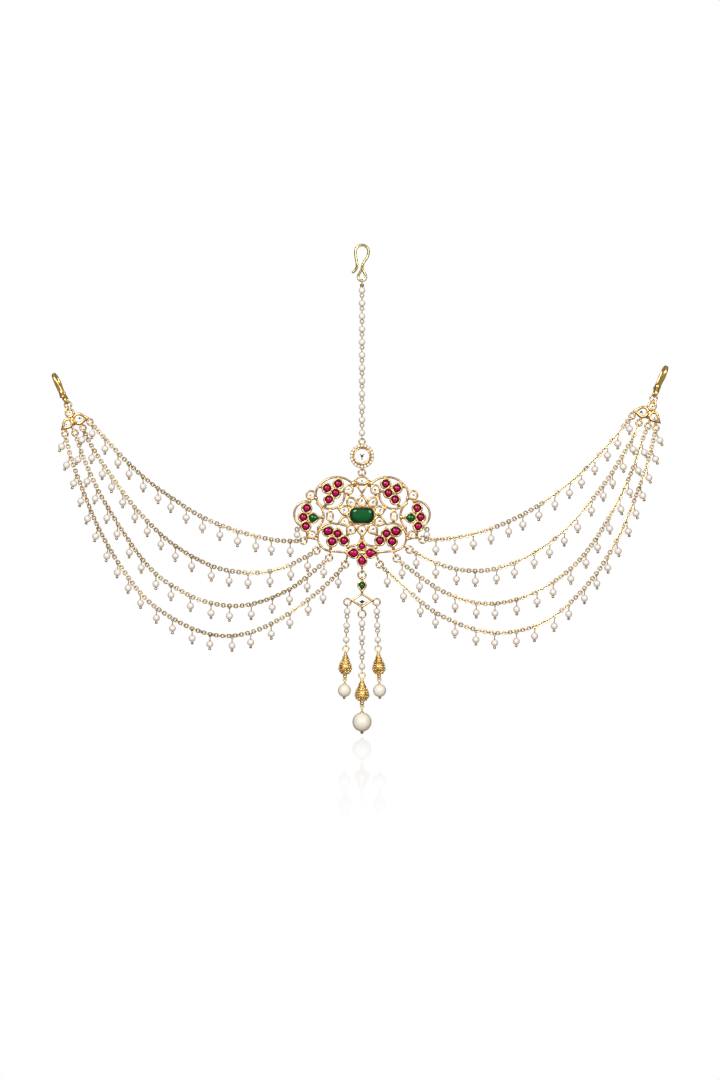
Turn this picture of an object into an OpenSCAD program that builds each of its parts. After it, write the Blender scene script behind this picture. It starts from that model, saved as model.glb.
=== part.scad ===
// Head ornament: a parting chain of pearls, a pierced pendant set with stones, a main
// drop of three pearl strings, and four pearl-hung chains on each side.
// Lengths are millimetres. +Z is up and -Y faces the viewer. The origin is the inner
// crown of the parting hook's bend, where the piece hangs.

/* [Hooks] */
// Diameter of the hook's wire
hook_wire = 1; // [0.8:0.1:1.2]
// Radius of the bend, at the middle of the wire
hook_bend_r = 3.3; // [3.1:0.1:3.6]
// Size of a side hook next to the parting hook
side_hook_scale = 0.9; // [0.85:0.05:0.95]
// Turn of the side hooks about their own length
side_hook_turn = 80; // [60:1:85]
// Lean of the left hook from upright
left_hook_lean = 25; // [20:1:28]
// Lean of the right hook from upright
right_hook_lean = 22; // [18:1:25]

/* [Pearls and wire] */
// Diameter of the pearls on the parting chain and the strings
small_pearl_d = 3.05; // [2.8:0.05:3.2]
// Diameter of the pearls that hang from the side chains
chain_pearl_d = 3.4; // [3:0.1:3.6]
// Diameter of the wire of the pearls' eye pins
pin_wire = 0.4; // [0.3:0.05:0.45]
// Distance from pearl to pearl on the parting chain
parting_pitch = 6.48; // [6.4:0.02:6.6]
// Pearls on the parting chain
parting_count = 12; // [12:1:12]

/* [Connector] */
// Radius of the connector's clear stone
connector_stone_r = 4.1; // [3.9:0.1:4.2]
// Height of the connector's centre
connector_z = -105.1; // [-105.1:0.1:-105.1]

/* [Pendant] */
// Height of the centre of the pendant's green stone
pendant_z = -134.7; // [-134.7:0.1:-134.7]
// Wall of a stone's cup
cup_wall = 0.45; // [0.4:0.05:0.5]
// Width of the frame's wires
frame_wire = 0.8; // [0.7:0.05:0.9]

/* [Side chains] */
// Width of a side chain
chain_d = 2.3; // [2:0.1:2.4]
// Distance from a chain's middle to the middle of a hanging pearl
hang_length = 5; // [5:0.1:5.4]

/* [Main drop] */
// Radius of the ring that carries the drop, at the middle of its wire
drop_ring_r = 1.8; // [1.7:0.1:1.9]
// Lean of the two outer strings, away from the middle
string_lean = 2; // [0:0.5:3]
// Diameter of the two outer end pearls
side_end_pearl_d = 6.5; // [6:0.1:6.8]
// Diameter of the centre end pearl
centre_end_pearl_d = 9.6; // [9:0.1:9.8]

/* [Hidden] */
$fn = 48;

// Space kept between two pieces that hold each other
play = 0.1;
// Space kept between two pieces that only lie near each other
near_gap = 0.3;
left = -1;
right = 1;

// Levels above the middle plane, towards the viewer
cup_back = -1;
cup_floor = -0.5;
cup_top = 0.9;
wire_half = 0.4;
stone_base = cup_floor + play;

// Jump rings, at the middle of the wire, and their wire
ring_r = 1.85;
ring_wire = 0.6;
rim_loop_r = 0.95;
rim_loop_wire = 0.5;
plate_loop_r = 1.65;
plate_loop_wire = 0.5;
small_eye_r = 0.6;
large_eye_r = 0.9;

// Hook, from its inner crown down
bend_z = -(hook_bend_r - hook_wire / 2);
leg_end_z = -9.3;
flare_r = 4;
flare_sweep = 60;
curve_r = 6.5;
curve_sweep = acos(1 - hook_bend_r / (2 * curve_r));
hook_eye_r = 2;
hook_eye_drop = 4;
neck_z = bend_z - 2 * curve_r * sin(curve_sweep);
hook_eye_z = neck_z - hook_eye_drop;
hook_foot_z = hook_eye_z - hook_eye_r;

// Side plates: the middle of the top stone's round end
left_plate_at = [-146.1, -83.6];
right_plate_at = [144.9, -80.2];
hook_ring_r = 1.55;
hook_ring_off = [0.9, 4.2];

// Stones of a side plate, pointing as on the right one: [cut, x, z, turn, a, b]
plate_stones = [
  ["pear", 0, 0, 50, 1.5, 2.2],
  ["pear", -4.4, -2.9, 173, 2.2, 3.7],
  ["pear", 0.95, -5.15, -45, 1.7, 3.2]];
plate_joint = [-1.4, -3.3, 1.3];
plate_pegs = [[-7.6, -2.6], [-5, -4.8], [-0.6, -5.8], [1.6, -6.4]];

// Stones of the pendant, on its right half: [cut, x, z, turn, a, b]
// round: a is the radius; pear: a the radius and b the distance to the tip;
// oval, navette and lozenge: a is half the width and b half the length
petals = [
  ["pear", 0, 6.8, 90, 1.95, 3.1],
  ["pear", 5.2, 6.5, 51, 1.95, 3.1],
  ["pear", 8.45, 2.45, 16, 1.95, 3.1],
  ["pear", 8.45, -2.9, -19, 1.95, 3.1],
  ["pear", 5.3, -6.8, -52, 1.95, 3.1],
  ["pear", 0, -7, -90, 1.95, 3.1]];
upper_rubies = [
  ["round", 17.5, 13.5, 0, 2.05, 0],
  ["round", 11.9, 15.75, 0, 2.05, 0],
  ["round", 13.2, 11.15, 0, 2.05, 0],
  ["round", 16.55, 7.85, 0, 2.05, 0]];
side_rubies = [
  ["round", 27.6, 3.55, 0, 2.05, 0],
  ["round", 29.35, -0.95, 0, 2.05, 0],
  ["round", 28.1, -5.5, 0, 2.05, 0]];
lower_rubies = [
  ["oval", 16.95, -7.95, -10, 1.95, 2.4],
  ["round", 12.2, -9.2, 0, 2, 0],
  ["round", 15.05, -13.1, 0, 2.15, 0],
  ["round", 8.95, -12.65, 0, 2.1, 0]];
flower_rubies = [
  ["pear", 0, -15.5, 90, 1.55, 2.2],
  ["pear", -4.1, -18.9, 180, 2.05, 3.4],
  ["pear", 4.1, -18.9, 0, 2.05, 3.4],
  ["pear", 0, -22.9, 90, 1.95, 2.9]];
green_pear = ["pear", 24.5, -1.3, 180, 2, 2.9];
polki = [
  ["round", 6.7, 12.9, 0, 1.85, 0],
  ["oval", 16.05, -0.4, 90, 1.2, 1.9],
  ["round", 25.55, 10.1, 0, 1.85, 0],
  ["oval", 25.05, -9.75, 0, 1.4, 1.6]];
crown = ["navette", 0, 17.4, 0, 1.45, 3];
centre_half = [5.8, 3.7];
centre_corner = 2.2;

// Wire arcs of the pendant's right half: [x, z, radius, from, sweep]
frame_arcs = [
  [15.9, 10.4, 7.2, -200, 230],
  [12.6, 8.3, 10.9, 31, 106],
  [27.3, 0.5, 6.6, -60, 140],
  [26.9, -0.2, 7.7, 125, 105],
  [15.2, -10.9, 7, -82, 200],
  [5, -10.6, 4.7, 185, 90]];
// Solder bars of the pendant's right half: [x, z, x, z, width]
frame_bars = [
  [17.5, 13.5, 21.6, 14.8, 1.3], [11.9, 15.75, 11.7, 19, 1.3],
  [13.2, 11.15, 6.7, 12.9, 1.1], [16.55, 7.85, 18.9, 4, 1.3],
  [6.7, 12.9, 6.9, 9, 1], [6.7, 12.9, 3.4, 16.2, 1.1], [2.8, 15.6, 0, 11, 0.7],
  [16.05, -0.4, 15.8, 3.3, 1.3], [16.05, -0.4, 15.7, -3.9, 1.3],
  [8.45, 2.45, 12.5, 4.1, 0.9], [12, -4.7, 12.2, -9.2, 0.8],
  [5.3, -6.8, 8.95, -12.65, 0.9], [16.95, -7.95, 20.7, -6.5, 1.2],
  [15.05, -13.1, 15.9, -17.8, 1.3], [8.95, -12.65, 6.3, -16.4, 1.2],
  [16.4, -17.75, 7.2, -18.6, 0.8], [25.05, -9.75, 21.9, -10.4, 1],
  [28.1, -5.5, 27.3, -10.9, 0.8], [27.3, -10.9, 22, -12.1, 0.8],
  [24.5, -1.3, 19.4, -1, 1.2], [28.1, -5.5, 30.4, -5.6, 0.8],
  [25.55, 10.1, 22.6, 9.4, 1.2], [26.2, 6.6, 27.6, 3.55, 1.1],
  [0, 0, 0, 6.8, 2], [0, 0, 0, -7, 2], [0, 6.8, 5.2, 6.5, 1.6],
  [5.2, 6.5, 8.45, 2.45, 1.6], [8.45, 2.45, 8.45, -2.9, 1.6],
  [8.45, -2.9, 5.3, -6.8, 1.6], [5.3, -6.8, 0, -7, 1.6],
  [0, -7, 0, -22.9, 1.2], [0, -18.9, 4.1, -18.9, 1.2], [4.1, -18.9, 6.3, -16.4, 1.2]];
// Solder knobs of the pendant's right half: [x, z, radius]
frame_knobs = [[3.6, 16.3, 1.1], [20.9, 14.6, 0.9], [19.6, -1, 0.9], [26.3, 7, 0.9],
  [23, 8.6, 0.9], [6.8, -16, 0.9], [7.9, -18.4, 0.9], [27.3, -10.9, 0.8], [0, -11.2, 0.9],
  [0, -18.9, 1.2]];
// Where the four rings of a side hang from the rim, on the right half
rim_anchors = [[27.3, -10.9], [20.6, -15.3], [15.7, -17.9], [7.1, -19.4]];
side_pearl_anchor = [30.3, -5.6];
side_pearl_eye = [32.4, -7];
side_pearl_drop = 2.5;
// The two shoulder pearls lean forward, clear of the rings and chains below them
side_pearl_lean = 45;

// Side chains, from the plate's loop to the pendant's ring: routes in x and z
route_left_1 = [[-136, -88], [-126.5, -98.5], [-118.5, -107], [-107.5, -117], [-95, -126],
  [-80, -135.5], [-62.5, -142.5], [-44, -147], [-29.5, -147.5]];
route_left_2 = [[-139.5, -91], [-135.5, -99.5], [-126.5, -113.5], [-115.5, -128.5],
  [-106, -139], [-96, -148], [-83.5, -156], [-70.5, -161.5], [-54.5, -163.5],
  [-41, -161.5], [-31, -157], [-23, -152.5]];
route_left_3 = [[-143.5, -93.5], [-139, -106.5], [-131.5, -123], [-122, -139],
  [-111.5, -154.5], [-102.5, -164.5], [-93, -171], [-81, -177], [-65.5, -180],
  [-51, -178], [-36, -171.5], [-26.5, -164.5], [-16.5, -156]];
route_left_4 = [[-148.5, -94], [-145, -107.5], [-139, -123.5], [-131.5, -141.5],
  [-121.5, -159], [-109.5, -175], [-97.5, -184.5], [-83, -192], [-69, -195],
  [-55, -193], [-41, -186.5], [-28.5, -178], [-18, -169.5], [-8.5, -159.5]];
route_right_1 = [[135, -85], [123, -99.5], [109.5, -113.5], [96, -124.5], [81, -134],
  [64, -141.5], [45.5, -146], [30.5, -147]];
route_right_2 = [[138.5, -88.5], [134.5, -97.5], [124, -115], [112.5, -130],
  [100.5, -143], [85, -154], [70, -160.5], [56.5, -162.5], [41, -160], [24, -152]];
route_right_3 = [[143, -90], [140, -97.5], [134.5, -113.5], [126.5, -130.5],
  [114.5, -150], [102.5, -163], [87, -173], [72, -178], [58, -178.5], [42, -173.5],
  [28.5, -165], [17.5, -156.5]];
route_right_4 = [[147, -91], [143.5, -106], [137.5, -123.5], [130.5, -141],
  [120.5, -159], [109.5, -173], [95.5, -185.5], [82, -191.5], [67, -193.5],
  [52.5, -190.5], [38, -184], [29, -177.5], [19, -168.5], [9, -159.5]];
// Side chains: [route, pearls, first pearl, last pearl before the end, bow of the
// spacing, pearls that lean forward over the next chain]
side_chains_left = [
  [route_left_1, 14, 2.6, 5.8, -0.04, 1], [route_left_2, 16, 2.6, 4.4, -0.1, 1],
  [route_left_3, 17, 10.2, 3.8, -0.02, 1], [route_left_4, 21, 2.6, 4.6, -0.08, 0]];
side_chains_right = [
  [route_right_1, 14, 2.6, 5.8, -0.06, 0], [route_right_2, 15, 9.4, 4, -0.08, 1],
  [route_right_3, 17, 9, 3.6, 0, 2], [route_right_4, 21, 2.6, 5, -0.08, 0]];
tube_sides = 8;
// Least angle between a chain and a pearl that hangs from it, and the forward lean
clear_angle = 38;
forward_lean = 26;
end_bead_d = 1.2;
end_bead_drop = 2.9;

// Main drop, heights of its parts
drop_ring_z = -164.5;
drop_pear_z = -169.6;
navette_z = -177.3;
navette_half = [2.8, 4.25];
side_loop_at = [7.3, -178];
side_loop_r = 1.6;
centre_loop_z = -184;
centre_loop_r = 1.75;
loop_wire = 0.5;
side_string_pitch = 7.1;
centre_string_pitch = 7.15;
filigree_loop_r = 1.35;
filigree_length = 13.5;
// Outline of a filigree drop: [share of the radius, share of the length] from the top
filigree_profile = [[0.14, 0], [0.2, 0.1], [0.56, 0.33], [0.82, 0.46], [0.97, 0.55],
  [1, 0.61], [0.98, 0.67], [0.9, 0.73], [0.74, 0.79], [0.5, 0.84], [0.27, 0.87], [0.24, 1]];

// Wire rings. A face-on ring lies in the front plane. An edge-on ring lies in the
// plane of the Y axis and the direction at the angle turn from +X.
module torus(r, wire) rotate_extrude() translate([r, 0]) circle(d = wire);
module ring_flat(r, wire) rotate([90, 0, 0]) torus(r, wire);
module ring_edge(r, wire, turn = 90) rotate([0, -turn, 0]) torus(r, wire);
module arc_flat(r, wire, from, sweep)
  rotate([90, 0, 0]) rotate([0, 0, from])
    rotate_extrude(angle = sweep) translate([r, 0]) circle(d = wire);

// Round rod between two points of the front plane
module rod(from, to, d) {
  run = to - from;
  translate([from[0], 0, from[1]]) rotate([0, atan2(run[0], run[1]), 0])
    cylinder(d = d, h = norm(run));
}

// Drawing plane turned to face the viewer, at a place in the front plane
module facing(at = [0, 0]) translate([at[0], 0, at[1]]) rotate([90, 0, 0]) children();
module slab(low, high) translate([0, 0, low]) linear_extrude(high - low) children();

// Outlines of the cuts, grown evenly on all sides
function pear_points(r, tip, n) = let (touch = acos(r / tip))
  concat([[tip, 0]], [for (i = [0 : n - 2])
    let (a = touch + (360 - 2 * touch) * i / (n - 2)) r * [cos(a), sin(a)]]);
module oval_outline(a, b) {
  square([2 * (b - a), 2 * a], center = true);
  for (s = [-1, 1]) translate([s * (b - a), 0]) circle(a);
}
module navette_outline(a, b, grow) {
  r = (a * a + b * b) / (2 * a);
  intersection_for(s = [-1, 1]) translate([0, s * (r - a)]) circle(r + grow, $fn = 96);
}
function lozenge_points(a, b, grow) = let (k = 1 + grow * norm([a, b]) / (a * b))
  [[b * k, 0], [0, a * k], [-b * k, 0], [0, -a * k]];
module cushion_outline(half, corner) {
  inner = [half[0] - corner, half[1] - corner];
  square(2 * [half[0], inner[1]], center = true);
  square(2 * [inner[0], half[1]], center = true);
  for (x = [-1, 1], z = [-1, 1]) translate([x * inner[0], z * inner[1]]) circle(corner);
}
module outline(stone, grow = 0) {
  cut = stone[0];
  a = stone[4];
  b = stone[5];
  translate([stone[1], stone[2]]) rotate(stone[3]) {
    if (cut == "round") circle(a + grow);
    if (cut == "pear") polygon(pear_points(a + grow, b * (a + grow) / a, 24));
    if (cut == "oval") oval_outline(a + grow, b + grow);
    if (cut == "navette") navette_outline(a, b, grow);
    if (cut == "lozenge") polygon(lozenge_points(a, b, grow));
  }
}

// Domed stone: its outline carried up into a sphere
module cabochon(stone, rise = 1.1, edge = 0.6) {
  cut = stone[0];
  reach = cut == "round" ? stone[4] : cut == "pear" ? (stone[4] + stone[5]) / 2 : stone[5];
  shift = cut == "pear" ? (stone[5] - stone[4]) / 2 : 0;
  dome_r = (reach * reach + rise * rise) / (2 * rise);
  intersection() {
    slab(stone_base, edge + rise + 1) outline(stone);
    translate([stone[1], stone[2]]) rotate(stone[3])
      translate([shift, 0, edge + rise - dome_r]) sphere(dome_r);
  }
}

// Points round the outline of a cut, anticlockwise
function round_points(a, b, n) = [for (i = [0 : n - 1]) [b * cos(360 * i / n), a * sin(360 * i / n)]];
function navette_points(a, b, n) = let (r = (a * a + b * b) / (2 * a), t = asin(b / r), h = n / 2)
  [for (s = [1, -1], i = [0 : h - 1]) let (q = t * (1 - 2 * i / h))
    s * [r * sin(q), r * cos(q) - (r - a)]];
// Points along the edges of a few corners, as many on each edge
function edge_points(corners, n) = let (m = len(corners), each_edge = n / m)
  [for (i = [0 : m - 1], k = [0 : each_edge - 1])
    corners[i] + (corners[(i + 1) % m] - corners[i]) * k / each_edge];
function cut_points(stone, n) =
  stone[0] == "pear" ? pear_points(stone[4], stone[5], n) :
  stone[0] == "navette" ? navette_points(stone[4], stone[5], n) :
  stone[0] == "oval" ? round_points(stone[4], stone[5], n) :
  stone[0] == "lozenge" ? edge_points(lozenge_points(stone[4], stone[5], 0), n) :
  round_points(stone[4], stone[4], n);

// Flat uncut stone: a girdle, a ring of facets and a table
module rose_cut(stone, n = 12, girdle = 0.4, crown_rise = 0.6, table = 0.5) {
  plan = cut_points(stone, n);
  levels = [[1, stone_base], [1, girdle], [table, girdle + crown_rise]];
  points = [for (level = levels, p = plan) [p[0] * level[0], p[1] * level[0], level[1]]];
  sides = [for (k = [0 : 1], i = [0 : n - 1]) let (j = (i + 1) % n)
    [k * n + i, k * n + n + i, k * n + n + j, k * n + j]];
  ends = [[for (i = [0 : n - 1]) i], [for (i = [0 : n - 1]) 3 * n - 1 - i]];
  translate([stone[1], stone[2]]) rotate(stone[3]) polyhedron(points, concat(sides, ends));
}

// Cups for a list of stones: the outer bodies, and the hollows to cut from them
module cup_bodies(stones) slab(cup_back, cup_top)
  for (stone = stones) outline(stone, play + cup_wall);
module cup_hollows(stones) slab(cup_floor, cup_top + 1)
  for (stone = stones) outline(stone, play);
module bar(from, to, width) {
  run = to - from;
  translate(from) rotate(atan2(run[1], run[0])) translate([0, -width / 2])
    square([norm(run), width]);
}
module wire_arc(x, z, r, from, sweep) translate([x, z, -wire_half]) rotate(from)
  rotate_extrude(angle = sweep, $fn = 96)
    translate([r - frame_wire / 2, 0]) square([frame_wire, 2 * wire_half]);

// Hooks. A bead a little wider than the wire closes each joint between two sweeps.
module wire_joint(x, z) translate([x, 0, z]) sphere(d = hook_wire + 0.06);
module s_hook() {
  side = hook_eye_r * cos(asin(hook_eye_r / hook_eye_drop));
  touch_z = hook_eye_z + hook_eye_r * hook_eye_r / hook_eye_drop;
  translate([0, 0, bend_z]) arc_flat(hook_bend_r, hook_wire, 0, 180);
  rod([-hook_bend_r, leg_end_z], [-hook_bend_r, bend_z], hook_wire);
  translate([-hook_bend_r - flare_r, 0, leg_end_z])
    arc_flat(flare_r, hook_wire, -flare_sweep, flare_sweep);
  translate([-hook_bend_r - flare_r * (1 - cos(flare_sweep)), 0,
    leg_end_z - flare_r * sin(flare_sweep)]) sphere(d = hook_wire + 0.2);
  translate([hook_bend_r - curve_r, 0, bend_z])
    arc_flat(curve_r, hook_wire, -curve_sweep, curve_sweep);
  for (joint = [[hook_bend_r, bend_z], [-hook_bend_r, bend_z], [-hook_bend_r, leg_end_z]])
    wire_joint(joint[0], joint[1]);
  wire_joint(hook_bend_r / 2, (bend_z + neck_z) / 2);
  translate([curve_r, 0, neck_z]) arc_flat(curve_r, hook_wire, 180 - curve_sweep, curve_sweep);
  for (s = [-1, 1]) {
    rod([s * side, touch_z], [s * 0.1, neck_z - 0.2], hook_wire);
    wire_joint(s * side, touch_z);
  }
  translate([0, 0, neck_z - 0.5]) cylinder(d = hook_wire + 0.6, h = 1);
  translate([0, 0, hook_eye_z]) arc_flat(hook_eye_r, hook_wire, 150, 240);
}
module parting_hook() color("goldenrod") s_hook();
module side_hook(plate_at, side, lean) {
  ring_at = plate_at + [side * hook_ring_off[0], hook_ring_off[1]];
  foot = hook_ring_r - (ring_wire + side_hook_scale * hook_wire) / 2 - play;
  reach = foot - side_hook_scale * hook_foot_z;
  color("goldenrod") translate([ring_at[0] + side * reach * sin(lean), 0,
    ring_at[1] + reach * cos(lean)]) rotate([0, side * lean, 0])
      rotate([0, 0, -side * side_hook_turn]) scale(side_hook_scale) s_hook();
}
module left_hook() side_hook(left_plate_at, left, left_hook_lean);
module right_hook() side_hook(right_plate_at, right, right_hook_lean);
module hook_ring(plate_at, side) color("gold")
  translate([plate_at[0] + side * hook_ring_off[0], 0, plate_at[1] + hook_ring_off[1]])
    ring_flat(hook_ring_r, ring_wire);
module left_hook_ring() hook_ring(left_plate_at, left);
module right_hook_ring() hook_ring(right_plate_at, right);

// Pearl on an eye pin. The edge-on eye above hangs from the ring before it, and the
// eye below is face-on unless it hangs a face-on ring.
eye_fall = small_pearl_d / 2 + 0.2 + large_eye_r;
module pearl_link(rise, top_r = small_eye_r, face_on = true) {
  sphere(d = small_pearl_d);
  translate([0, 0, rise]) ring_edge(top_r, pin_wire);
  translate([0, 0, -eye_fall]) rotate([0, 0, face_on ? 0 : 90]) ring_flat(large_eye_r, pin_wire);
  translate([0, 0, large_eye_r - eye_fall])
    cylinder(d = pin_wire, h = rise - top_r + eye_fall - large_eye_r);
}
// Rise of a link's upper eye where it hangs from the eye of the link above
function link_rise(pitch) = pitch - eye_fall - large_eye_r + pin_wire + play - small_eye_r;
parting_top_r = 1.05;
parting_top_z = hook_foot_z + (hook_wire + pin_wire) / 2 + play - parting_top_r;
parting_pearl_z = -22.2;
parting_last_z = parting_pearl_z - (parting_count - 1) * parting_pitch;
module parting_pearls() color("ivory") for (i = [0 : parting_count - 1])
  translate([0, 0, parting_pearl_z - i * parting_pitch])
    pearl_link(i == 0 ? parting_top_z - parting_pearl_z : link_rise(parting_pitch),
      i == 0 ? parting_top_r : small_eye_r, i < parting_count - 1);

// Connector
connector_loop_r = 1.35;
connector_loop_z = parting_last_z - eye_fall - large_eye_r + (pin_wire + loop_wire) / 2
  + play - connector_loop_r;
collet_wall = 0.75;
halo_wire = 1.2;
halo_r = connector_stone_r + play + collet_wall + halo_wire / 2 - 0.15;
link_loop_r = 0.7;
link_loop_wire = 0.44;
connector_ring_r = 1.6;
lower_loop_z = connector_z - 6.4;
connector_ring_z = lower_loop_z - link_loop_r + (link_loop_wire + ring_wire) / 2 + play
  - connector_ring_r;
crown_loop_z = connector_ring_z - connector_ring_r + (link_loop_wire + ring_wire) / 2
  + play - link_loop_r;
connector = ["round", 0, connector_z, 0, connector_stone_r, 0];
module connector_frame() color("gold") {
  difference() {
    union() {
      facing() slab(cup_back, cup_top) outline(connector, play + collet_wall);
      translate([0, 0, connector_z]) ring_flat(halo_r, halo_wire);
      translate([0, 0, connector_loop_z]) ring_flat(connector_loop_r, loop_wire);
      translate([0, 0, lower_loop_z]) ring_edge(link_loop_r, link_loop_wire);
    }
    facing() cup_hollows([connector]);
  }
}
module connector_stone() color("whitesmoke") facing() rose_cut(connector, 16);
module connector_ring() color("gold")
  translate([0, 0, connector_ring_z]) ring_flat(connector_ring_r, ring_wire);

// Pendant
function mirrored(stone) = [stone[0], -stone[1], stone[2], 180 - stone[3], stone[4], stone[5]];
function on_side(stones, side) = [for (stone = stones) side == left ? mirrored(stone) : stone];
function chains_of(side) = side == left ? side_chains_left : side_chains_right;
function ring_at(side, i) = let (route = chains_of(side)[i][0]) route[len(route) - 1];
right_half = concat(upper_rubies, side_rubies, lower_rubies, [green_pear], polki,
  [for (i = [1 : 4]) petals[i]]);
all_cups = concat(right_half, on_side(right_half, left), flower_rubies, [crown],
  [petals[0], petals[5]]);
// Small edge-on loop on the rim, and the peg that carries it, towards a hanging ring
module rim_loop(anchor, ring, held_r, held_wire, r, wire) {
  way = (anchor - ring) / norm(anchor - ring);
  middle = ring + way * (held_r + r - (held_wire + wire) / 2 - play);
  translate([middle[0], 0, middle[1]]) ring_edge(r, wire, atan2(way[1], way[0]));
  rod(anchor, middle + way * r, frame_wire);
}
module frame_half() {
  for (arc = frame_arcs) wire_arc(arc[0], arc[1], arc[2], arc[3], arc[4]);
  slab(-wire_half, wire_half) {
    for (b = frame_bars) bar([b[0], b[1]], [b[2], b[3]], b[4]);
    for (knob = frame_knobs) translate([knob[0], knob[1]]) circle(knob[2]);
  }
}
drop_top_z = drop_ring_z + drop_ring_r;
pendant_loop_r = 1;
pendant_loop_wire = 0.56;
pendant_loop_z = drop_top_z - (ring_wire + pendant_loop_wire) / 2 - play + pendant_loop_r;
module pendant_frame() color("gold") difference() {
  union() {
    facing([0, pendant_z]) {
      cup_bodies(all_cups);
      slab(cup_back, cup_top)
        cushion_outline(centre_half + (play + cup_wall) * [1, 1], centre_corner + cup_wall);
      frame_half();
      mirror([1, 0, 0]) frame_half();
    }
    for (side = [left, right], i = [0 : 3])
      rim_loop([side * rim_anchors[i][0], pendant_z + rim_anchors[i][1]], ring_at(side, i),
        ring_r, ring_wire, rim_loop_r, rim_loop_wire);
    for (side = [left, right])
      rim_loop([side * side_pearl_anchor[0], pendant_z + side_pearl_anchor[1]],
        [side * side_pearl_eye[0], pendant_z + side_pearl_eye[1]],
        large_eye_r, pin_wire, 0.65, 0.4);
    translate([0, 0, crown_loop_z]) ring_edge(link_loop_r, link_loop_wire);
    translate([0, 0, pendant_loop_z]) ring_edge(pendant_loop_r, pendant_loop_wire);
    rod([0, pendant_loop_z + pendant_loop_r], [0, pendant_z - 24.8], 1);
  }
  facing([0, pendant_z]) {
    cup_hollows(all_cups);
    slab(cup_floor, cup_top + 1) cushion_outline(centre_half + play * [1, 1], centre_corner);
  }
}
module centre_stone() color("darkgreen") facing([0, pendant_z]) intersection() {
  slab(stone_base, 4) cushion_outline(centre_half, centre_corner);
  translate([0, 0, 2.6 - 10.6]) sphere(10.6, $fn = 128);
}
module domed(stones, tint) color(tint) facing([0, pendant_z])
  for (stone = stones) cabochon(stone);
module faceted(stones) color("whitesmoke") facing([0, pendant_z])
  for (stone = stones) rose_cut(stone);
module crown_stone() faceted([crown]);
module petal_stones() faceted(concat(petals,
  on_side([for (i = [1 : 4]) petals[i]], left)));
module green_pears() domed([green_pear, mirrored(green_pear)], "green");
module rubies_upper_left() domed(on_side(upper_rubies, left), "crimson");
module rubies_upper_right() domed(upper_rubies, "crimson");
module rubies_left() domed(on_side(side_rubies, left), "crimson");
module rubies_right() domed(side_rubies, "crimson");
module rubies_lower_left() domed(on_side(lower_rubies, left), "crimson");
module rubies_lower_right() domed(lower_rubies, "crimson");
module rubies_flower() domed(flower_rubies, "crimson");
module polki_left() faceted(on_side(polki, left));
module polki_right() faceted(polki);
module side_pearls() color("ivory") for (side = [left, right])
  translate([side * side_pearl_eye[0], 0, pendant_z + side_pearl_eye[1]]) {
    ring_flat(large_eye_r, pin_wire);
    translate([0, 0, -large_eye_r]) {
      sphere(d = pin_wire + 0.1);
      rotate([-side_pearl_lean, 0, 0]) translate([0, 0, -side_pearl_drop]) {
        sphere(d = 3.3);
        cylinder(d = pin_wire, h = side_pearl_drop);
      }
    }
  }
module pendant_rings(side) color("gold") for (i = [0 : 3])
  translate([ring_at(side, i)[0], 0, ring_at(side, i)[1]]) ring_flat(ring_r, ring_wire);
module pendant_rings_left() pendant_rings(left);
module pendant_rings_right() pendant_rings(right);

// Side chain as a tube along its route, which stops short of the loop and the ring
function unit(v) = v / norm(v);
function shortened(route, head, tail) = let (n = len(route)) concat(
  [route[0] + unit(route[1] - route[0]) * head], [for (i = [1 : n - 2]) route[i]],
  [route[n - 1] - unit(route[n - 1] - route[n - 2]) * tail]);
function heading(path, i) =
  unit(path[min(i + 1, len(path) - 1)] - path[max(i - 1, 0)]);
module side_chain(side, i) {
  path = shortened(chains_of(side)[i][0], plate_loop_r + plate_loop_wire / 2 + near_gap,
    ring_r + ring_wire / 2 + near_gap);
  n = len(path);
  points = [for (k = [0 : n - 1], s = [0 : tube_sides - 1])
    let (way = heading(path, k), a = 360 * (s + 0.5) / tube_sides, out = chain_d / 2 * cos(a))
      [path[k][0] - way[1] * out, chain_d / 2 * sin(a), path[k][1] + way[0] * out]];
  sides = [for (k = [0 : n - 2], s = [0 : tube_sides - 1])
    let (a = k * tube_sides + s, b = k * tube_sides + (s + 1) % tube_sides)
      [a, b, b + tube_sides, a + tube_sides]];
  ends = [[for (s = [1 : tube_sides]) tube_sides - s],
    [for (s = [0 : tube_sides - 1]) (n - 1) * tube_sides + s]];
  color("khaki") polyhedron(points, concat(sides, ends));
}
module chain_left_1() side_chain(left, 0);
module chain_left_2() side_chain(left, 1);
module chain_left_3() side_chain(left, 2);
module chain_left_4() side_chain(left, 3);
module chain_right_1() side_chain(right, 0);
module chain_right_2() side_chain(right, 1);
module chain_right_3() side_chain(right, 2);
module chain_right_4() side_chain(right, 3);

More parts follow.
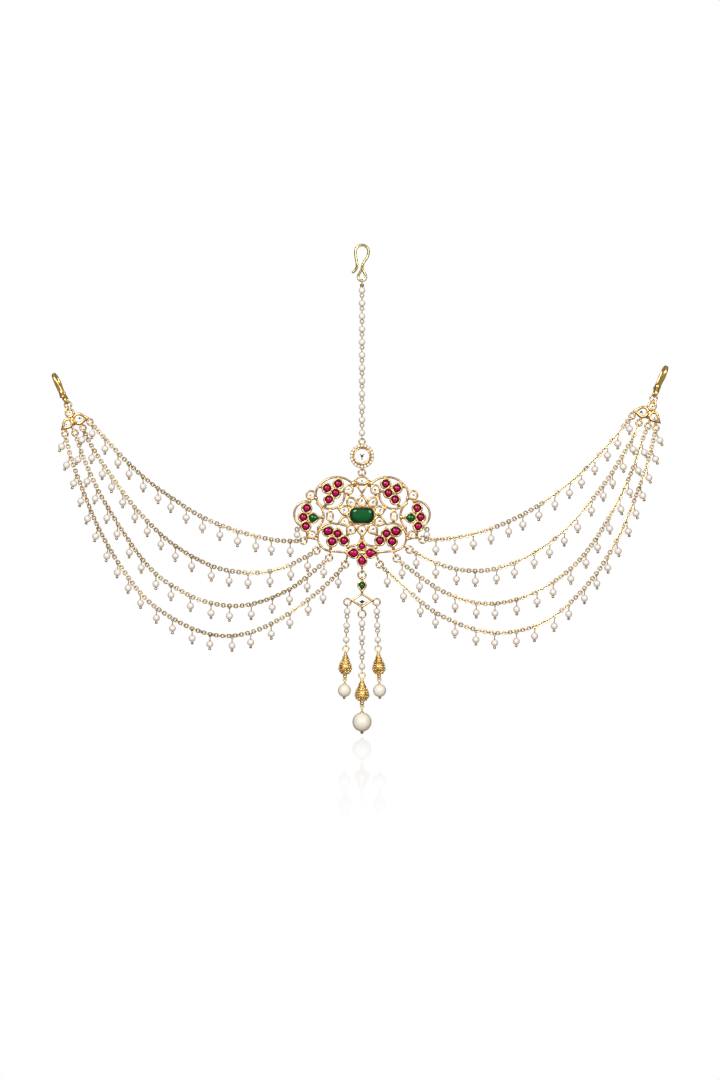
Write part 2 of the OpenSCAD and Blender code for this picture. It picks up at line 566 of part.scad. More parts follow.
// Place and direction of a route at a distance along it
function run_to(path, n) = n < 1 ? 0 : run_to(path, n - 1) + norm(path[n] - path[n - 1]);
function stretch(path, s, i = 0) =
  i >= len(path) - 2 || s < run_to(path, i + 1) ? i : stretch(path, s, i + 1);
function route_at(path, s) = let (i = stretch(path, s), way = unit(path[i + 1] - path[i]))
  [path[i] + way * (s - run_to(path, i)), way];
function spread(t, bow) = t + bow * t * (1 - t);
module hanging_pearl(start) {
  translate([0, 0, -hang_length]) sphere(d = chain_pearl_d);
  translate([0, 0, -hang_length - end_bead_drop]) sphere(d = end_bead_d);
  translate([0, 0, -hang_length - end_bead_drop])
    cylinder(d = pin_wire, h = hang_length + end_bead_drop - start);
}
module chain_pearls(side, i) color("ivory") {
  row = chains_of(side)[i];
  route = row[0];
  first = row[2];
  last = run_to(route, len(route) - 1) - row[3];
  for (k = [0 : row[1] - 1]) {
    place = route_at(route, first + (last - first) * spread(k / (row[1] - 1), row[4]));
    steep = atan2(abs(place[1][0]), -place[1][1]);
    start = (chain_d / 2 + near_gap) / sin(max(steep, clear_angle));
    translate([place[0][0], 0, place[0][1]])
      rotate([k < row[5] ? -forward_lean : 0, -side * max(0, clear_angle - steep), 0])
        hanging_pearl(start);
  }
}
module pearls_left_1() chain_pearls(left, 0);
module pearls_left_2() chain_pearls(left, 1);
module pearls_left_3() chain_pearls(left, 2);
module pearls_left_4() chain_pearls(left, 3);
module pearls_right_1() chain_pearls(right, 0);
module pearls_right_2() chain_pearls(right, 1);
module pearls_right_3() chain_pearls(right, 2);
module pearls_right_4() chain_pearls(right, 3);

// Side plates: three cups, a loop for the hook's ring and a loop for each chain
module side_plate(plate_at, side) color("gold") {
  stones = on_side(plate_stones, side);
  ring_off = [side * hook_ring_off[0], hook_ring_off[1]];
  top_loop_z = ring_off[1] - hook_ring_r + (ring_wire + loop_wire) / 2 + play - 0.9;
  difference() {
    union() {
      facing(plate_at) {
        cup_bodies(stones);
        slab(-wire_half, wire_half) {
          joint = [side * plate_joint[0], plate_joint[1]];
          translate(joint) circle(plate_joint[2]);
          for (stone = stones) bar(joint, [stone[1], stone[2]], 1.2);
        }
      }
      translate([plate_at[0] + ring_off[0], 0, plate_at[1] + top_loop_z])
        ring_edge(0.9, loop_wire);
      for (i = [0 : 3]) {
        loop_at = chains_of(side)[i][0][0];
        peg = plate_at + [side * plate_pegs[i][0], plate_pegs[i][1]];
        translate([loop_at[0], 0, loop_at[1]]) ring_flat(plate_loop_r, plate_loop_wire);
        rod(peg, loop_at + unit(peg - loop_at) * plate_loop_r, frame_wire);
      }
    }
    facing(plate_at) cup_hollows(stones);
  }
}
module left_plate() side_plate(left_plate_at, left);
module right_plate() side_plate(right_plate_at, right);
module plate_stone_set(plate_at, side) color("whitesmoke") facing(plate_at)
  for (stone = on_side(plate_stones, side)) rose_cut(stone);
module left_plate_stones() plate_stone_set(left_plate_at, left);
module right_plate_stones() plate_stone_set(right_plate_at, right);

// Main drop
drop_eye_r = 0.8;
drop_eye_z = drop_ring_z - drop_ring_r + (ring_wire + loop_wire) / 2 + play - drop_eye_r;
drop_pear_stone = ["pear", 0, drop_pear_z, -90, 1.5, 2.5];
drop_navette_stone = ["lozenge", 0, navette_z, 0, navette_half[0], navette_half[1]];
module drop_ring() color("gold")
  translate([0, 0, drop_ring_z]) ring_flat(drop_ring_r, ring_wire);
module drop_frame() color("gold") {
  stones = [drop_pear_stone, drop_navette_stone];
  difference() {
    union() {
      facing() cup_bodies(stones);
      translate([0, 0, drop_eye_z]) ring_edge(drop_eye_r, loop_wire);
      rod([0, drop_eye_z - drop_eye_r], [0, drop_pear_z + 1.4], 0.7);
      rod([0, drop_pear_z - 2.6], [0, navette_z + navette_half[0] + 0.2], 1);
      for (side = [left, right]) {
        translate([side * side_loop_at[0], 0, side_loop_at[1]])
          ring_flat(side_loop_r, loop_wire);
        rod([side * (navette_half[1] - 0.1), navette_z],
          [side * (side_loop_at[0] - side_loop_r + 0.1), side_loop_at[1] + 0.3], 0.9);
      }
      translate([0, 0, centre_loop_z]) ring_flat(centre_loop_r, loop_wire);
      rod([0, centre_loop_z + centre_loop_r], [0, navette_z - navette_half[0] - 0.3], 1);
    }
    facing() cup_hollows(stones);
  }
}
module drop_pear() color("darkgreen") facing() cabochon(drop_pear_stone, 0.9, 0.5);
module drop_navette() color("whitesmoke") facing() rose_cut(drop_navette_stone, 16, 0.4, 0.8);

// Strings and what hangs below them, measured from the middle of the loop's lowest wire
first_rise = 3.05;
first_pearl = (loop_wire + pin_wire) / 2 + play - small_eye_r - first_rise;
module pearl_string(count, pitch) for (i = [0 : count - 1])
  translate([0, 0, first_pearl - i * pitch])
    pearl_link(i == 0 ? first_rise : link_rise(pitch), small_eye_r, i < count - 1);
function string_end(count, pitch) =
  first_pearl - (count - 1) * pitch - eye_fall - large_eye_r;
function filigree_top(count, pitch) = string_end(count, pitch)
  + (pin_wire + loop_wire) / 2 + play - 2 * filigree_loop_r;
filigree_eye_r = 0.7;
function filigree_foot(count, pitch) =
  filigree_top(count, pitch) - filigree_length - 2 * filigree_eye_r;
module filigree_drop(count, pitch, width) translate([0, 0, filigree_top(count, pitch)]) {
  translate([0, 0, filigree_loop_r]) ring_flat(filigree_loop_r, loop_wire);
  rotate_extrude() polygon(concat([[0, 0]],
    [for (p = filigree_profile) [p[0] * width / 2, -p[1] * filigree_length]],
    [[0, -filigree_length]]));
  translate([0, 0, -filigree_length - filigree_eye_r]) ring_flat(filigree_eye_r, pin_wire);
}
module end_pearl(count, pitch, d, rise, cap_d) {
  eye_z = filigree_foot(count, pitch) + pin_wire + play - small_eye_r;
  pearl_z = eye_z - rise;
  translate([0, 0, eye_z]) ring_edge(small_eye_r, pin_wire);
  translate([0, 0, pearl_z]) sphere(d = d);
  translate([0, 0, pearl_z + d / 2 - 0.2]) cylinder(d = cap_d, h = 0.7);
  translate([0, 0, pearl_z - d / 2 - 0.4]) sphere(d = end_bead_d);
  translate([0, 0, pearl_z - d / 2 - 0.4])
    cylinder(d = pin_wire, h = eye_z - small_eye_r - pearl_z + d / 2 + 0.4);
}
module at_side_loop(side) translate([side * side_loop_at[0], 0, side_loop_at[1] - side_loop_r])
  rotate([0, -side * string_lean, 0]) children();
module at_centre_loop() translate([0, 0, centre_loop_z - centre_loop_r]) children();
module string_left() color("ivory") at_side_loop(left) pearl_string(3, side_string_pitch);
module string_right() color("ivory") at_side_loop(right) pearl_string(3, side_string_pitch);
module string_centre() color("ivory") at_centre_loop() pearl_string(4, centre_string_pitch);
module filigree_left() color("goldenrod") at_side_loop(left)
  filigree_drop(3, side_string_pitch, 6.6);
module filigree_right() color("goldenrod") at_side_loop(right)
  filigree_drop(3, side_string_pitch, 6.6);
module filigree_centre() color("goldenrod") at_centre_loop()
  filigree_drop(4, centre_string_pitch, 7.2);
module end_pearl_left() color("ivory") at_side_loop(left)
  end_pearl(3, side_string_pitch, side_end_pearl_d, 4.7, 1.4);
module end_pearl_right() color("ivory") at_side_loop(right)
  end_pearl(3, side_string_pitch, side_end_pearl_d, 4.7, 1.4);
module end_pearl_centre() color("ivory") at_centre_loop()
  end_pearl(4, centre_string_pitch, centre_end_pearl_d, 7, 1.8);

parting_hook();
left_hook();
right_hook();
left_hook_ring();
right_hook_ring();
parting_pearls();
connector_frame();
connector_stone();
connector_ring();
pendant_frame();
centre_stone();
crown_stone();
petal_stones();
green_pears();
rubies_upper_left();
rubies_upper_right();
rubies_left();
rubies_right();
rubies_lower_left();
rubies_lower_right();
rubies_flower();
polki_left();
polki_right();
side_pearls();
pendant_rings_left();
pendant_rings_right();
chain_left_1();
chain_left_2();
chain_left_3();
chain_left_4();
chain_right_1();
chain_right_2();
chain_right_3();
chain_right_4();
pearls_left_1();
pearls_left_2();
pearls_left_3();
pearls_left_4();
pearls_right_1();
pearls_right_2();
pearls_right_3();
pearls_right_4();
left_plate();
right_plate();
left_plate_stones();
right_plate_stones();
drop_ring();
drop_frame();
drop_pear();
drop_navette();
string_left();
string_centre();
string_right();
filigree_left();
filigree_centre();
filigree_right();
end_pearl_left();
end_pearl_centre();
end_pearl_right();
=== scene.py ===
import math
import random

import bpy
from mathutils import Matrix, Vector


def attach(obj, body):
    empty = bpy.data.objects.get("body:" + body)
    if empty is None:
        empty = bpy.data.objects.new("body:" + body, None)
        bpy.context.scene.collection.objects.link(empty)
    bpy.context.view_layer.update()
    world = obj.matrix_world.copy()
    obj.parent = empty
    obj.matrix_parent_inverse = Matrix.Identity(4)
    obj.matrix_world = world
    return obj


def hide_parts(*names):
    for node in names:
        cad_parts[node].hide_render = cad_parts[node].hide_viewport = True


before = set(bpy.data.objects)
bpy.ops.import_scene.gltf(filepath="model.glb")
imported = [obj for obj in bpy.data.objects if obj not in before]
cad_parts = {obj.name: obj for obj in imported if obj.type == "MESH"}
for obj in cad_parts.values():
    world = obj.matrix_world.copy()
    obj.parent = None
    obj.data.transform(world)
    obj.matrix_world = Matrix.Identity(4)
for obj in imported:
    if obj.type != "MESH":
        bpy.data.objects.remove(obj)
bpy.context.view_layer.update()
MM = 0.001
LEFT, RIGHT = -1, 1
SIDES = ((LEFT, "left"), (RIGHT, "right"))
random.seed(7)


# Sizes and places, in millimetres, the solids' own unless a comment says otherwise

# Space between two pieces that hold each other
PLAY = 0.1
# Levels of a cup and its stone, from the middle plane towards the viewer
CUP_BACK = -1.0
CUP_TOP = 0.9
STONE_BASE = -0.4
GIRDLE = 0.45
# Diameters of the wires, and the depth of the solder between them
FRAME_WIRE = 0.8
SOLDER_DEPTH = 0.8
RING_WIRE = 0.6
LOOP_WIRE = 0.5
PIN_WIRE = 0.4
HOOK_WIRE = 1
# How much thicker the wires are drawn than the solids have them. A ring or loop keeps its hole.
PLUMP = 0.26
# Walls of the stones' cups, fuller than the solids': most of them, the large green stone's, the main drop's
CUP_WALL = 0.68
CENTRE_WALL = 0.85
DROP_WALL = 0.75
# Half the seam between the two ends of a ring
RING_GAP = 0.05
# How far the rings on the pendant and the loops on the plates are drawn in, which makes their holes smaller
RING_CLOSE = 0.3
LOOP_CLOSE = 0.35
PENDANT_Z = -134.7
CONNECTOR_Z = -105.1

# Stones: cut, x, z, turn, a, b. In a round one a is the radius, in a pear a is the radius and b the distance
# to the tip, in the other cuts a is half the width and b half the length. Places are from the pendant's
# centre. The left half mirrors what lies off the middle line, but for the flower, which is given whole.
PETALS = [("pear", 0, 6.8, 90, 1.95, 3.1), ("pear", 5.2, 6.5, 51, 1.95, 3.1),
          ("pear", 8.45, 2.45, 16, 1.95, 3.1), ("pear", 8.45, -2.9, -19, 1.95, 3.1),
          ("pear", 5.3, -6.8, -52, 1.95, 3.1), ("pear", 0, -7, -90, 1.95, 3.1)]
UPPER_RUBIES = [("round", 17.5, 13.5, 0, 2.05, 2.05), ("round", 11.9, 15.75, 0, 2.05, 2.05),
                ("round", 13.2, 11.15, 0, 2.05, 2.05), ("round", 16.55, 7.85, 0, 2.05, 2.05)]
SIDE_RUBIES = [("round", 27.6, 3.55, 0, 2.05, 2.05), ("round", 29.35, -0.95, 0, 2.05, 2.05),
               ("round", 28.1, -5.5, 0, 2.05, 2.05)]
LOWER_RUBIES = [("oval", 16.95, -7.95, -10, 1.95, 2.4), ("round", 12.2, -9.2, 0, 2, 2),
                ("round", 15.05, -13.1, 0, 2.15, 2.15), ("round", 8.95, -12.65, 0, 2.1, 2.1)]
FLOWER_RUBIES = [("pear", 0, -15.5, 90, 1.55, 2.2), ("pear", -4.1, -18.9, 180, 2.05, 3.4),
                 ("pear", 4.1, -18.9, 0, 2.05, 3.4), ("pear", 0, -22.9, 90, 1.95, 2.9)]
GREEN_PEAR = ("pear", 24.5, -1.3, 180, 2, 2.9)
POLKI = [("round", 6.7, 12.9, 0, 1.85, 1.85), ("oval", 16.05, -0.4, 90, 1.2, 1.9),
         ("round", 25.55, 10.1, 0, 1.85, 1.85), ("oval", 25.05, -9.75, 0, 1.4, 1.6)]
CROWN = ("navette", 0, 17.4, 0, 1.45, 3)
# The large green stone: half its height and width, and its corner, rounder than the solids have it
CUSHION = (3.7, 5.8)
CUSHION_CORNER = 2.6
# Stones of the right plate, from the middle of its top stone's round end
PLATE_STONES = [("pear", 0, 0, 50, 1.5, 2.2), ("pear", -4.4, -2.9, 173, 2.2, 3.7),
                ("pear", 0.95, -5.15, -45, 1.7, 3.2)]
DROP_PEAR = ("pear", 0, -169.6, -90, 1.5, 2.5)
DROP_LEAF = ("lozenge", 0, -177.3, 0, 2.8, 4.25)

# Wire arcs of the frame's right half: x, z, radius, from, sweep. Places are from the pendant's centre.
FRAME_ARCS = [(15.9, 10.4, 7.2, -200, 230), (12.6, 8.3, 10.9, 31, 106),
              (27.3, 0.5, 6.6, -60, 158), (26.9, -0.2, 7.7, 125, 105),
              (15.2, -10.9, 7, -82, 200), (5, -10.6, 4.7, 185, 90)]
# Straight wires that carry the arcs on to what they join: x, z, x, z
FRAME_TIES = [(21.95, -6.1, 22.1, -9.9), (5.4, -15.3, 6.9, -16)]
# Solder bars of the right half: x, z, x, z, width
FRAME_BARS = [(17.5, 13.5, 21.6, 14.8, 1.3), (11.9, 15.75, 11.7, 19, 1.3),
              (13.2, 11.15, 6.7, 12.9, 1.1), (16.55, 7.85, 18.9, 4, 1.3),
              (6.7, 12.9, 6.9, 9, 1), (6.7, 12.9, 3.4, 16.2, 1.1), (2.8, 15.6, 0, 11, 0.7),
              (16.05, -0.4, 15.8, 3.3, 1.3), (16.05, -0.4, 15.7, -3.9, 1.3),
              (8.45, 2.45, 12.5, 4.1, 0.9), (12, -4.7, 12.2, -9.2, 0.8),
              (5.3, -6.8, 8.95, -12.65, 0.9), (16.95, -7.95, 20.7, -6.5, 1.2),
              (15.05, -13.1, 15.9, -17.8, 1.3), (8.95, -12.65, 6.3, -16.4, 1.2),
              (16.4, -17.75, 7.2, -18.6, 0.8), (25.05, -9.75, 21.9, -10.4, 1),
              (28.1, -5.5, 27.3, -10.9, 0.8), (27.3, -10.9, 22, -12.1, 0.8),
              (24.5, -1.3, 19.4, -1, 1.2), (28.1, -5.5, 30.4, -5.6, 0.8),
              (25.55, 10.1, 22.6, 9.4, 1.2), (26.2, 6.6, 27.6, 3.55, 1.1),
              (0, 0, 0, 6.8, 2), (0, 0, 0, -7, 2), (0, 6.8, 5.2, 6.5, 1.6),
              (5.2, 6.5, 8.45, 2.45, 1.6), (8.45, 2.45, 8.45, -2.9, 1.6),
              (8.45, -2.9, 5.3, -6.8, 1.6), (5.3, -6.8, 0, -7, 1.6),
              (4.5, 15.5, 0, 15.35, 0.9), (4.9, 15.4, 3.2, 16.9, 1.8),
              (0, -7, 0, -22.9, 1.2), (0, -18.9, 4.1, -18.9, 1.2), (4.1, -18.9, 6.3, -16.4, 1.2)]
# Solder knobs of the right half: x, z, radius
FRAME_KNOBS = [(3.6, 16.3, 0.9), (20.9, 14.6, 0.9), (19.6, -1, 0.9), (26.3, 7, 0.9),
               (23, 8.6, 0.9), (6.8, -16, 0.9), (7.9, -18.4, 0.9), (27.3, -10.9, 0.8),
               (0, -11.2, 0.9), (0, -18.9, 1.2)]
# Where an arc's end shows and is closed with a bead of solder: x, z
WIRE_ENDS = [(21.95, 13.95), (22.5, 6.1), (21.95, -6.1), (30.6, -5.2), (26.4, 7.05)]
# Gold that fills the corners between neighbouring cups: x, z, radius
GUSSETS = [(14.3, 13.6, 0.85), (15.3, 10.5, 0.7), (14.7, -10.2, 0.9), (12.1, -11.7, 0.9),
           (27, 1.1, 0.9), (27.1, -3.3, 0.9), (3.9, 15.7, 1.5), (5.2, 14.6, 0.9),
           (1.7, -16.9, 0.8), (1.9, -20.7, 0.8)]
# Where the rim carries its four rings and the shoulder pearl, and the loops, radius and wire, that hold them
RIM_ANCHORS = [(27.3, -10.9), (20.6, -15.3), (15.7, -17.9), (7.1, -19.4)]
SIDE_PEARL_ANCHOR = (30.3, -5.6)
SIDE_PEARL_EYE = (32.4, -7)
RIM_LOOP = (0.95, 0.5)
SIDE_PEARL_LOOP = (0.65, 0.4)
RIM_PEG_WIRE = 0.9
# Height of the peg's end that carries the foot loop, and the loop's radius and wire
FOOT_PEG_Z = PENDANT_Z - 24.8
FOOT_LOOP = (1, 0.56)
# Radii of the rings, at the middle of their wire
RING_R = 1.85
CONNECTOR_RING_R = 1.6
DROP_RING_R = 1.8
HOOK_RING_R = 1.55

# The connector's stone, a little smaller than the solids', its top loop, and how far under its middle its low
# loop sits, with that loop's radius and wire, which the pendant's crown loop shares
CONNECTOR_STONE_R = 3.95
CONNECTOR_TOP_R = 1.35
CONNECTOR_FALL = 6.4
CROWN_LOOP = (0.7, 0.44)
# How far apart the middles of the loop's wire and the ring's wire are where the two hang in each other
CROWN_HOLD = (CROWN_LOOP[1] + RING_WIRE) / 2 + PLAY
CONNECTOR_RING_Z = CONNECTOR_Z - CONNECTOR_FALL - CROWN_LOOP[0] + CROWN_HOLD - CONNECTOR_RING_R
CROWN_LOOP_Z = CONNECTOR_RING_Z - CONNECTOR_RING_R + CROWN_HOLD - CROWN_LOOP[0]
# A ring of seed pearls, grains outside them and the shelf they sit on, which only the scene has
SEED_COUNT = 20
SEED_D = 1.62
SEED_RING_R = 5.28
GRAIN_RING_R = 5.95
SEAT_R = 5.75

# Side plates: their places, the loops of the chains, the pegs those stand on, the joint of the solder bars,
# the solder studs with their radius, the loop that holds the hook's ring, and that ring's place on the plate
PLATE_AT = {LEFT: (-146.1, -83.6), RIGHT: (144.9, -80.2)}
PLATE_WALL = 0.85
PLATE_LOOP_R = 1.65
PLATE_PEGS = [(-7.6, -2.6), (-5, -4.8), (-0.6, -5.8), (1.6, -6.4)]
PLATE_PEG_WIRE = 1.2
PLATE_JOINT = (-1.4, -3.3)
PLATE_STUDS = [(*PLATE_JOINT, 1.5), (-2.3, -1.6, 1), (0.6, -2.6, 1), (-1.9, -4.9, 1.4)]
PLATE_TOP_R = 0.9
HOOK_RING_OFF = (0.9, 4.2)

# Side chains: route, pearls, first, last before the end, bow, pearls that lean forward
CHAINS = {
    LEFT: [
        ([(-136, -88), (-126.5, -98.5), (-118.5, -107), (-107.5, -117), (-95, -126),
          (-80, -135.5), (-62.5, -142.5), (-44, -147), (-29.5, -147.5)], 14, 2.6, 5.8, -0.04, 1),
        ([(-139.5, -91), (-135.5, -99.5), (-126.5, -113.5), (-115.5, -128.5), (-106, -139),
          (-96, -148), (-83.5, -156), (-70.5, -161.5), (-54.5, -163.5), (-41, -161.5),
          (-31, -157), (-23, -152.5)], 16, 2.6, 4.4, -0.1, 1),
        ([(-143.5, -93.5), (-139, -106.5), (-131.5, -123), (-122, -139), (-111.5, -154.5),
          (-102.5, -164.5), (-93, -171), (-81, -177), (-65.5, -180), (-51, -178),
          (-36, -171.5), (-26.5, -164.5), (-16.5, -156)], 17, 10.2, 3.8, -0.02, 1),
        ([(-148.5, -94), (-145, -107.5), (-139, -123.5), (-131.5, -141.5), (-121.5, -159),
          (-109.5, -175), (-97.5, -184.5), (-83, -192), (-69, -195), (-55, -193),
          (-41, -186.5), (-28.5, -178), (-18, -169.5), (-8.5, -159.5)], 21, 2.6, 4.6, -0.08, 0)],
    RIGHT: [
        ([(135, -85), (123, -99.5), (109.5, -113.5), (96, -124.5), (81, -134), (64, -141.5),
          (45.5, -146), (30.5, -147)], 14, 2.6, 5.8, -0.06, 0),
        ([(138.5, -88.5), (134.5, -97.5), (124, -115), (112.5, -130), (100.5, -143),
          (85, -154), (70, -160.5), (56.5, -162.5), (41, -160), (24, -152)],
         15, 9.4, 4, -0.08, 1),
        ([(143, -90), (140, -97.5), (134.5, -113.5), (126.5, -130.5), (114.5, -150),
          (102.5, -163), (87, -173), (72, -178), (58, -178.5), (42, -173.5), (28.5, -165),
          (17.5, -156.5)], 17, 9, 3.6, 0, 2),
        ([(147, -91), (143.5, -106), (137.5, -123.5), (130.5, -141), (120.5, -159),
          (109.5, -173), (95.5, -185.5), (82, -191.5), (67, -193.5), (52.5, -190.5),
          (38, -184), (29, -177.5), (19, -168.5), (9, -159.5)], 21, 2.6, 5, -0.08, 0)]}
# Least angle between a chain and a pearl that hangs from it, and how far some lean forward
CLEAR_ANGLE = 38
FORWARD_LEAN = 26
# From a chain's middle to a hanging pearl's, and the diameter it is drawn with
HANG_LENGTH = 5
HANG_PEARL_D = 3.5
# Links, which only the scene has: distance, wire, radius, stretch, and from its middle to where it bears
LINK_PITCH = 1.58
LINK_WIRE = 0.56
LINK_R = 0.93
LINK_STRETCH = 1.18
LINK_HALF = 1.08

# Hooks, from the inner crown down
HOOK_BEND_R = 3.3
HOOK_BEND_Z = HOOK_WIRE / 2 - HOOK_BEND_R
CURVE_R = 6.5
CURVE_SWEEP = math.degrees(math.acos(1 - HOOK_BEND_R / (2 * CURVE_R)))
NECK_Z = HOOK_BEND_Z - 2 * CURVE_R * math.sin(math.radians(CURVE_SWEEP))
HOOK_EYE_R = 2
HOOK_EYE_DROP = 4
HOOK_FOOT_Z = NECK_Z - HOOK_EYE_DROP - HOOK_EYE_R
HOOK_TIP = (-4.445, -13.04)
SIDE_HOOK_SCALE = 0.9
SIDE_HOOK_TURN = 80
SIDE_HOOK_LEAN = {LEFT: 25, RIGHT: 22}

# Pearls on eye pins: their diameter, the eyes above and below, and from a pearl's middle to its low eye's
PEARL_D = 3.05
SMALL_EYE = 0.6
LARGE_EYE = 0.9
EYE_FALL = PEARL_D / 2 + 0.2 + LARGE_EYE
PARTING_PEARLS = 12
PARTING_PITCH = 6.48
PARTING_Z = -22.2
PARTING_EYE = 1.05
SHOULDER_PEARL_D = 3.3
SHOULDER_DROP = 2.5
SHOULDER_LEAN = 45

# Main drop: its ring, the side loops' x, z, radius, the centre loop's z, radius, its top loop, and how far
# apart the pearls of the strings are
DROP_RING_Z = -164.5
SIDE_LOOP = (7.3, -178, 1.6)
CENTRE_LOOP = (-184, 1.75)
DROP_TOP_R = 0.8
SIDE_PITCH = 7.1
CENTRE_PITCH = 7.15
# How far the first pearl's eye lies over it, then the filigree drops' top loop, length and lower loop
FIRST_RISE = 3.05
FILIGREE_LOOP = 1.35
FILIGREE_LENGTH = 13.5
FILIGREE_EYE = 0.7
# Outline of a filigree drop from the top: share of the radius, share of the length
FILIGREE_PROFILE = [(0.14, 0), (0.2, 0.1), (0.56, 0.33), (0.82, 0.46), (0.97, 0.55), (1, 0.61),
                    (0.98, 0.67), (0.9, 0.73), (0.74, 0.79), (0.5, 0.84), (0.27, 0.87), (0.24, 1)]
# Strings: word, pearls, pitch, the place they hang from with its lean, width of the filigree drop, diameter
# of the end pearl, how far its middle hangs under its eye, diameter of its cap
SIDE_FOOT_Z = SIDE_LOOP[1] - SIDE_LOOP[2]
STRINGS = [("left", 3, SIDE_PITCH, (-SIDE_LOOP[0], SIDE_FOOT_Z, 2), 6.6, 6.5, 4.7, 1.4),
           ("centre", 4, CENTRE_PITCH, (0, CENTRE_LOOP[0] - CENTRE_LOOP[1], 0), 7.2, 9.6, 7, 1.8),
           ("right", 3, SIDE_PITCH, (SIDE_LOOP[0], SIDE_FOOT_Z, -2), 6.6, 6.5, 4.7, 1.4)]
# Largest turn, in radians, of a pearl about its own hole
ROUND = 6.28


# Modelling helpers. A piece is shaped at the origin in millimetres, then its copies are
# set in their places in metres. Flat work is drawn in the XY plane with its front up +Z.

def deselect():
    bpy.ops.object.select_all(action="DESELECT")


def choose(*pieces):
    """Selects these pieces alone and makes the first of them the active one."""
    deselect()
    for piece in pieces:
        piece.select_set(True)
    bpy.context.view_layer.objects.active = pieces[0]


def edit(piece):
    choose(piece)
    bpy.ops.object.mode_set(mode="EDIT")


def edit_all(piece, faces=False):
    """Edit mode with the whole piece selected, by its faces where asked."""
    edit(piece)
    if faces:
        bpy.ops.mesh.select_mode(type="FACE")
    bpy.ops.mesh.select_all(action="SELECT")


def done():
    bpy.ops.object.mode_set(mode="OBJECT")
    return bpy.context.object


def pick(piece, test, kind="faces"):
    """Selects the faces or vertices whose place (and normal) pass the test."""
    bpy.ops.mesh.select_all(action="DESELECT")
    bpy.ops.mesh.select_mode(type="FACE" if kind == "faces" else "VERT")
    bpy.ops.object.mode_set(mode="OBJECT")
    if kind == "faces":
        for face in piece.data.polygons:
            face.select = test(face.center, face.normal)
    else:
        for vertex in piece.data.vertices:
            vertex.select = test(vertex.co)
    bpy.ops.object.mode_set(mode="EDIT")


def close_up(merge=False):
    """Fills what is open and turns the faces outwards, after merging doubles where asked."""
    bpy.ops.mesh.select_mode(type="VERT")
    bpy.ops.mesh.select_all(action="SELECT")
    if merge:
        bpy.ops.mesh.remove_doubles(threshold=0.004)
    bpy.ops.mesh.fill_holes(sides=0)
    bpy.ops.mesh.normals_make_consistent(inside=False)


def smooth(piece, angle=35):
    choose(piece)
    bpy.ops.object.shade_smooth_by_angle(angle=math.radians(angle))
    return piece


def flat(piece):
    choose(piece)
    bpy.ops.object.shade_flat()
    return piece


def rotated(angle, axis):
    """A turn in degrees."""
    return Matrix.Rotation(math.radians(angle), 4, axis)


def raised(z):
    return Matrix.Translation((0, 0, z))


def spot(x, z, turn=0.0, lift=0.0):
    """Place of flat work in the front plane, its front towards the viewer."""
    return Matrix.Translation((x, -lift, z)) @ rotated(90, "X") @ rotated(turn, "Z")


def hung(x, z, lean=0.0, forward=0.0):
    """Place of something that hangs from the point: lean turns it about Y as seen from the front."""
    return Matrix.Translation((x, 0, z)) @ rotated(lean, "Y") @ rotated(forward, "X")


def edge_on(x, z, way=90.0):
    """Place of a ring seen edge-on, whose plane holds the depth and the direction way."""
    return spot(x, z, way) @ rotated(90, "X")


def copy_at(model, place):
    """A copy with its own mesh. A mirrored one has its faces turned outwards again."""
    twin = model.copy()
    twin.data = model.data.copy()
    bpy.context.scene.collection.objects.link(twin)
    twin.data.transform(place)
    if place.determinant() < 0:
        twin.data.flip_normals()
    return twin


def set_at(piece, place):
    piece.data.transform(place)
    return piece


def gathered(pieces):
    """Joins pieces into the first of them."""
    choose(*pieces)
    if len(pieces) > 1:
        bpy.ops.object.join()
    return bpy.context.view_layer.objects.active


def joined(name, pieces, finish=None):
    """One finished piece from many, in metres."""
    piece = gathered(pieces)
    piece.name = name
    piece.data.name = name
    piece.data.transform(Matrix.Scale(MM, 4))
    return worn(piece, finish) if finish else piece


def put_away(*models):
    for model in models:
        bpy.data.objects.remove(model)


def worn(piece, finish):
    piece.data.materials.clear()
    piece.data.materials.append(finish)
    return piece


def fitted(piece, body, slot, *nodes):
    """Puts a finished piece on its body, in place of the nodes it stands for. The slot is not used."""
    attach(piece, body)
    if nodes:
        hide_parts(*nodes)
    return piece


# Outlines of the cuts, as the solids have them, anticlockwise from the +X side

def turned(angle, r=1.0, x=0.0, y=0.0):
    """The point at a distance and angle from another."""
    return (x + r * math.cos(math.radians(angle)), y + r * math.sin(math.radians(angle)))


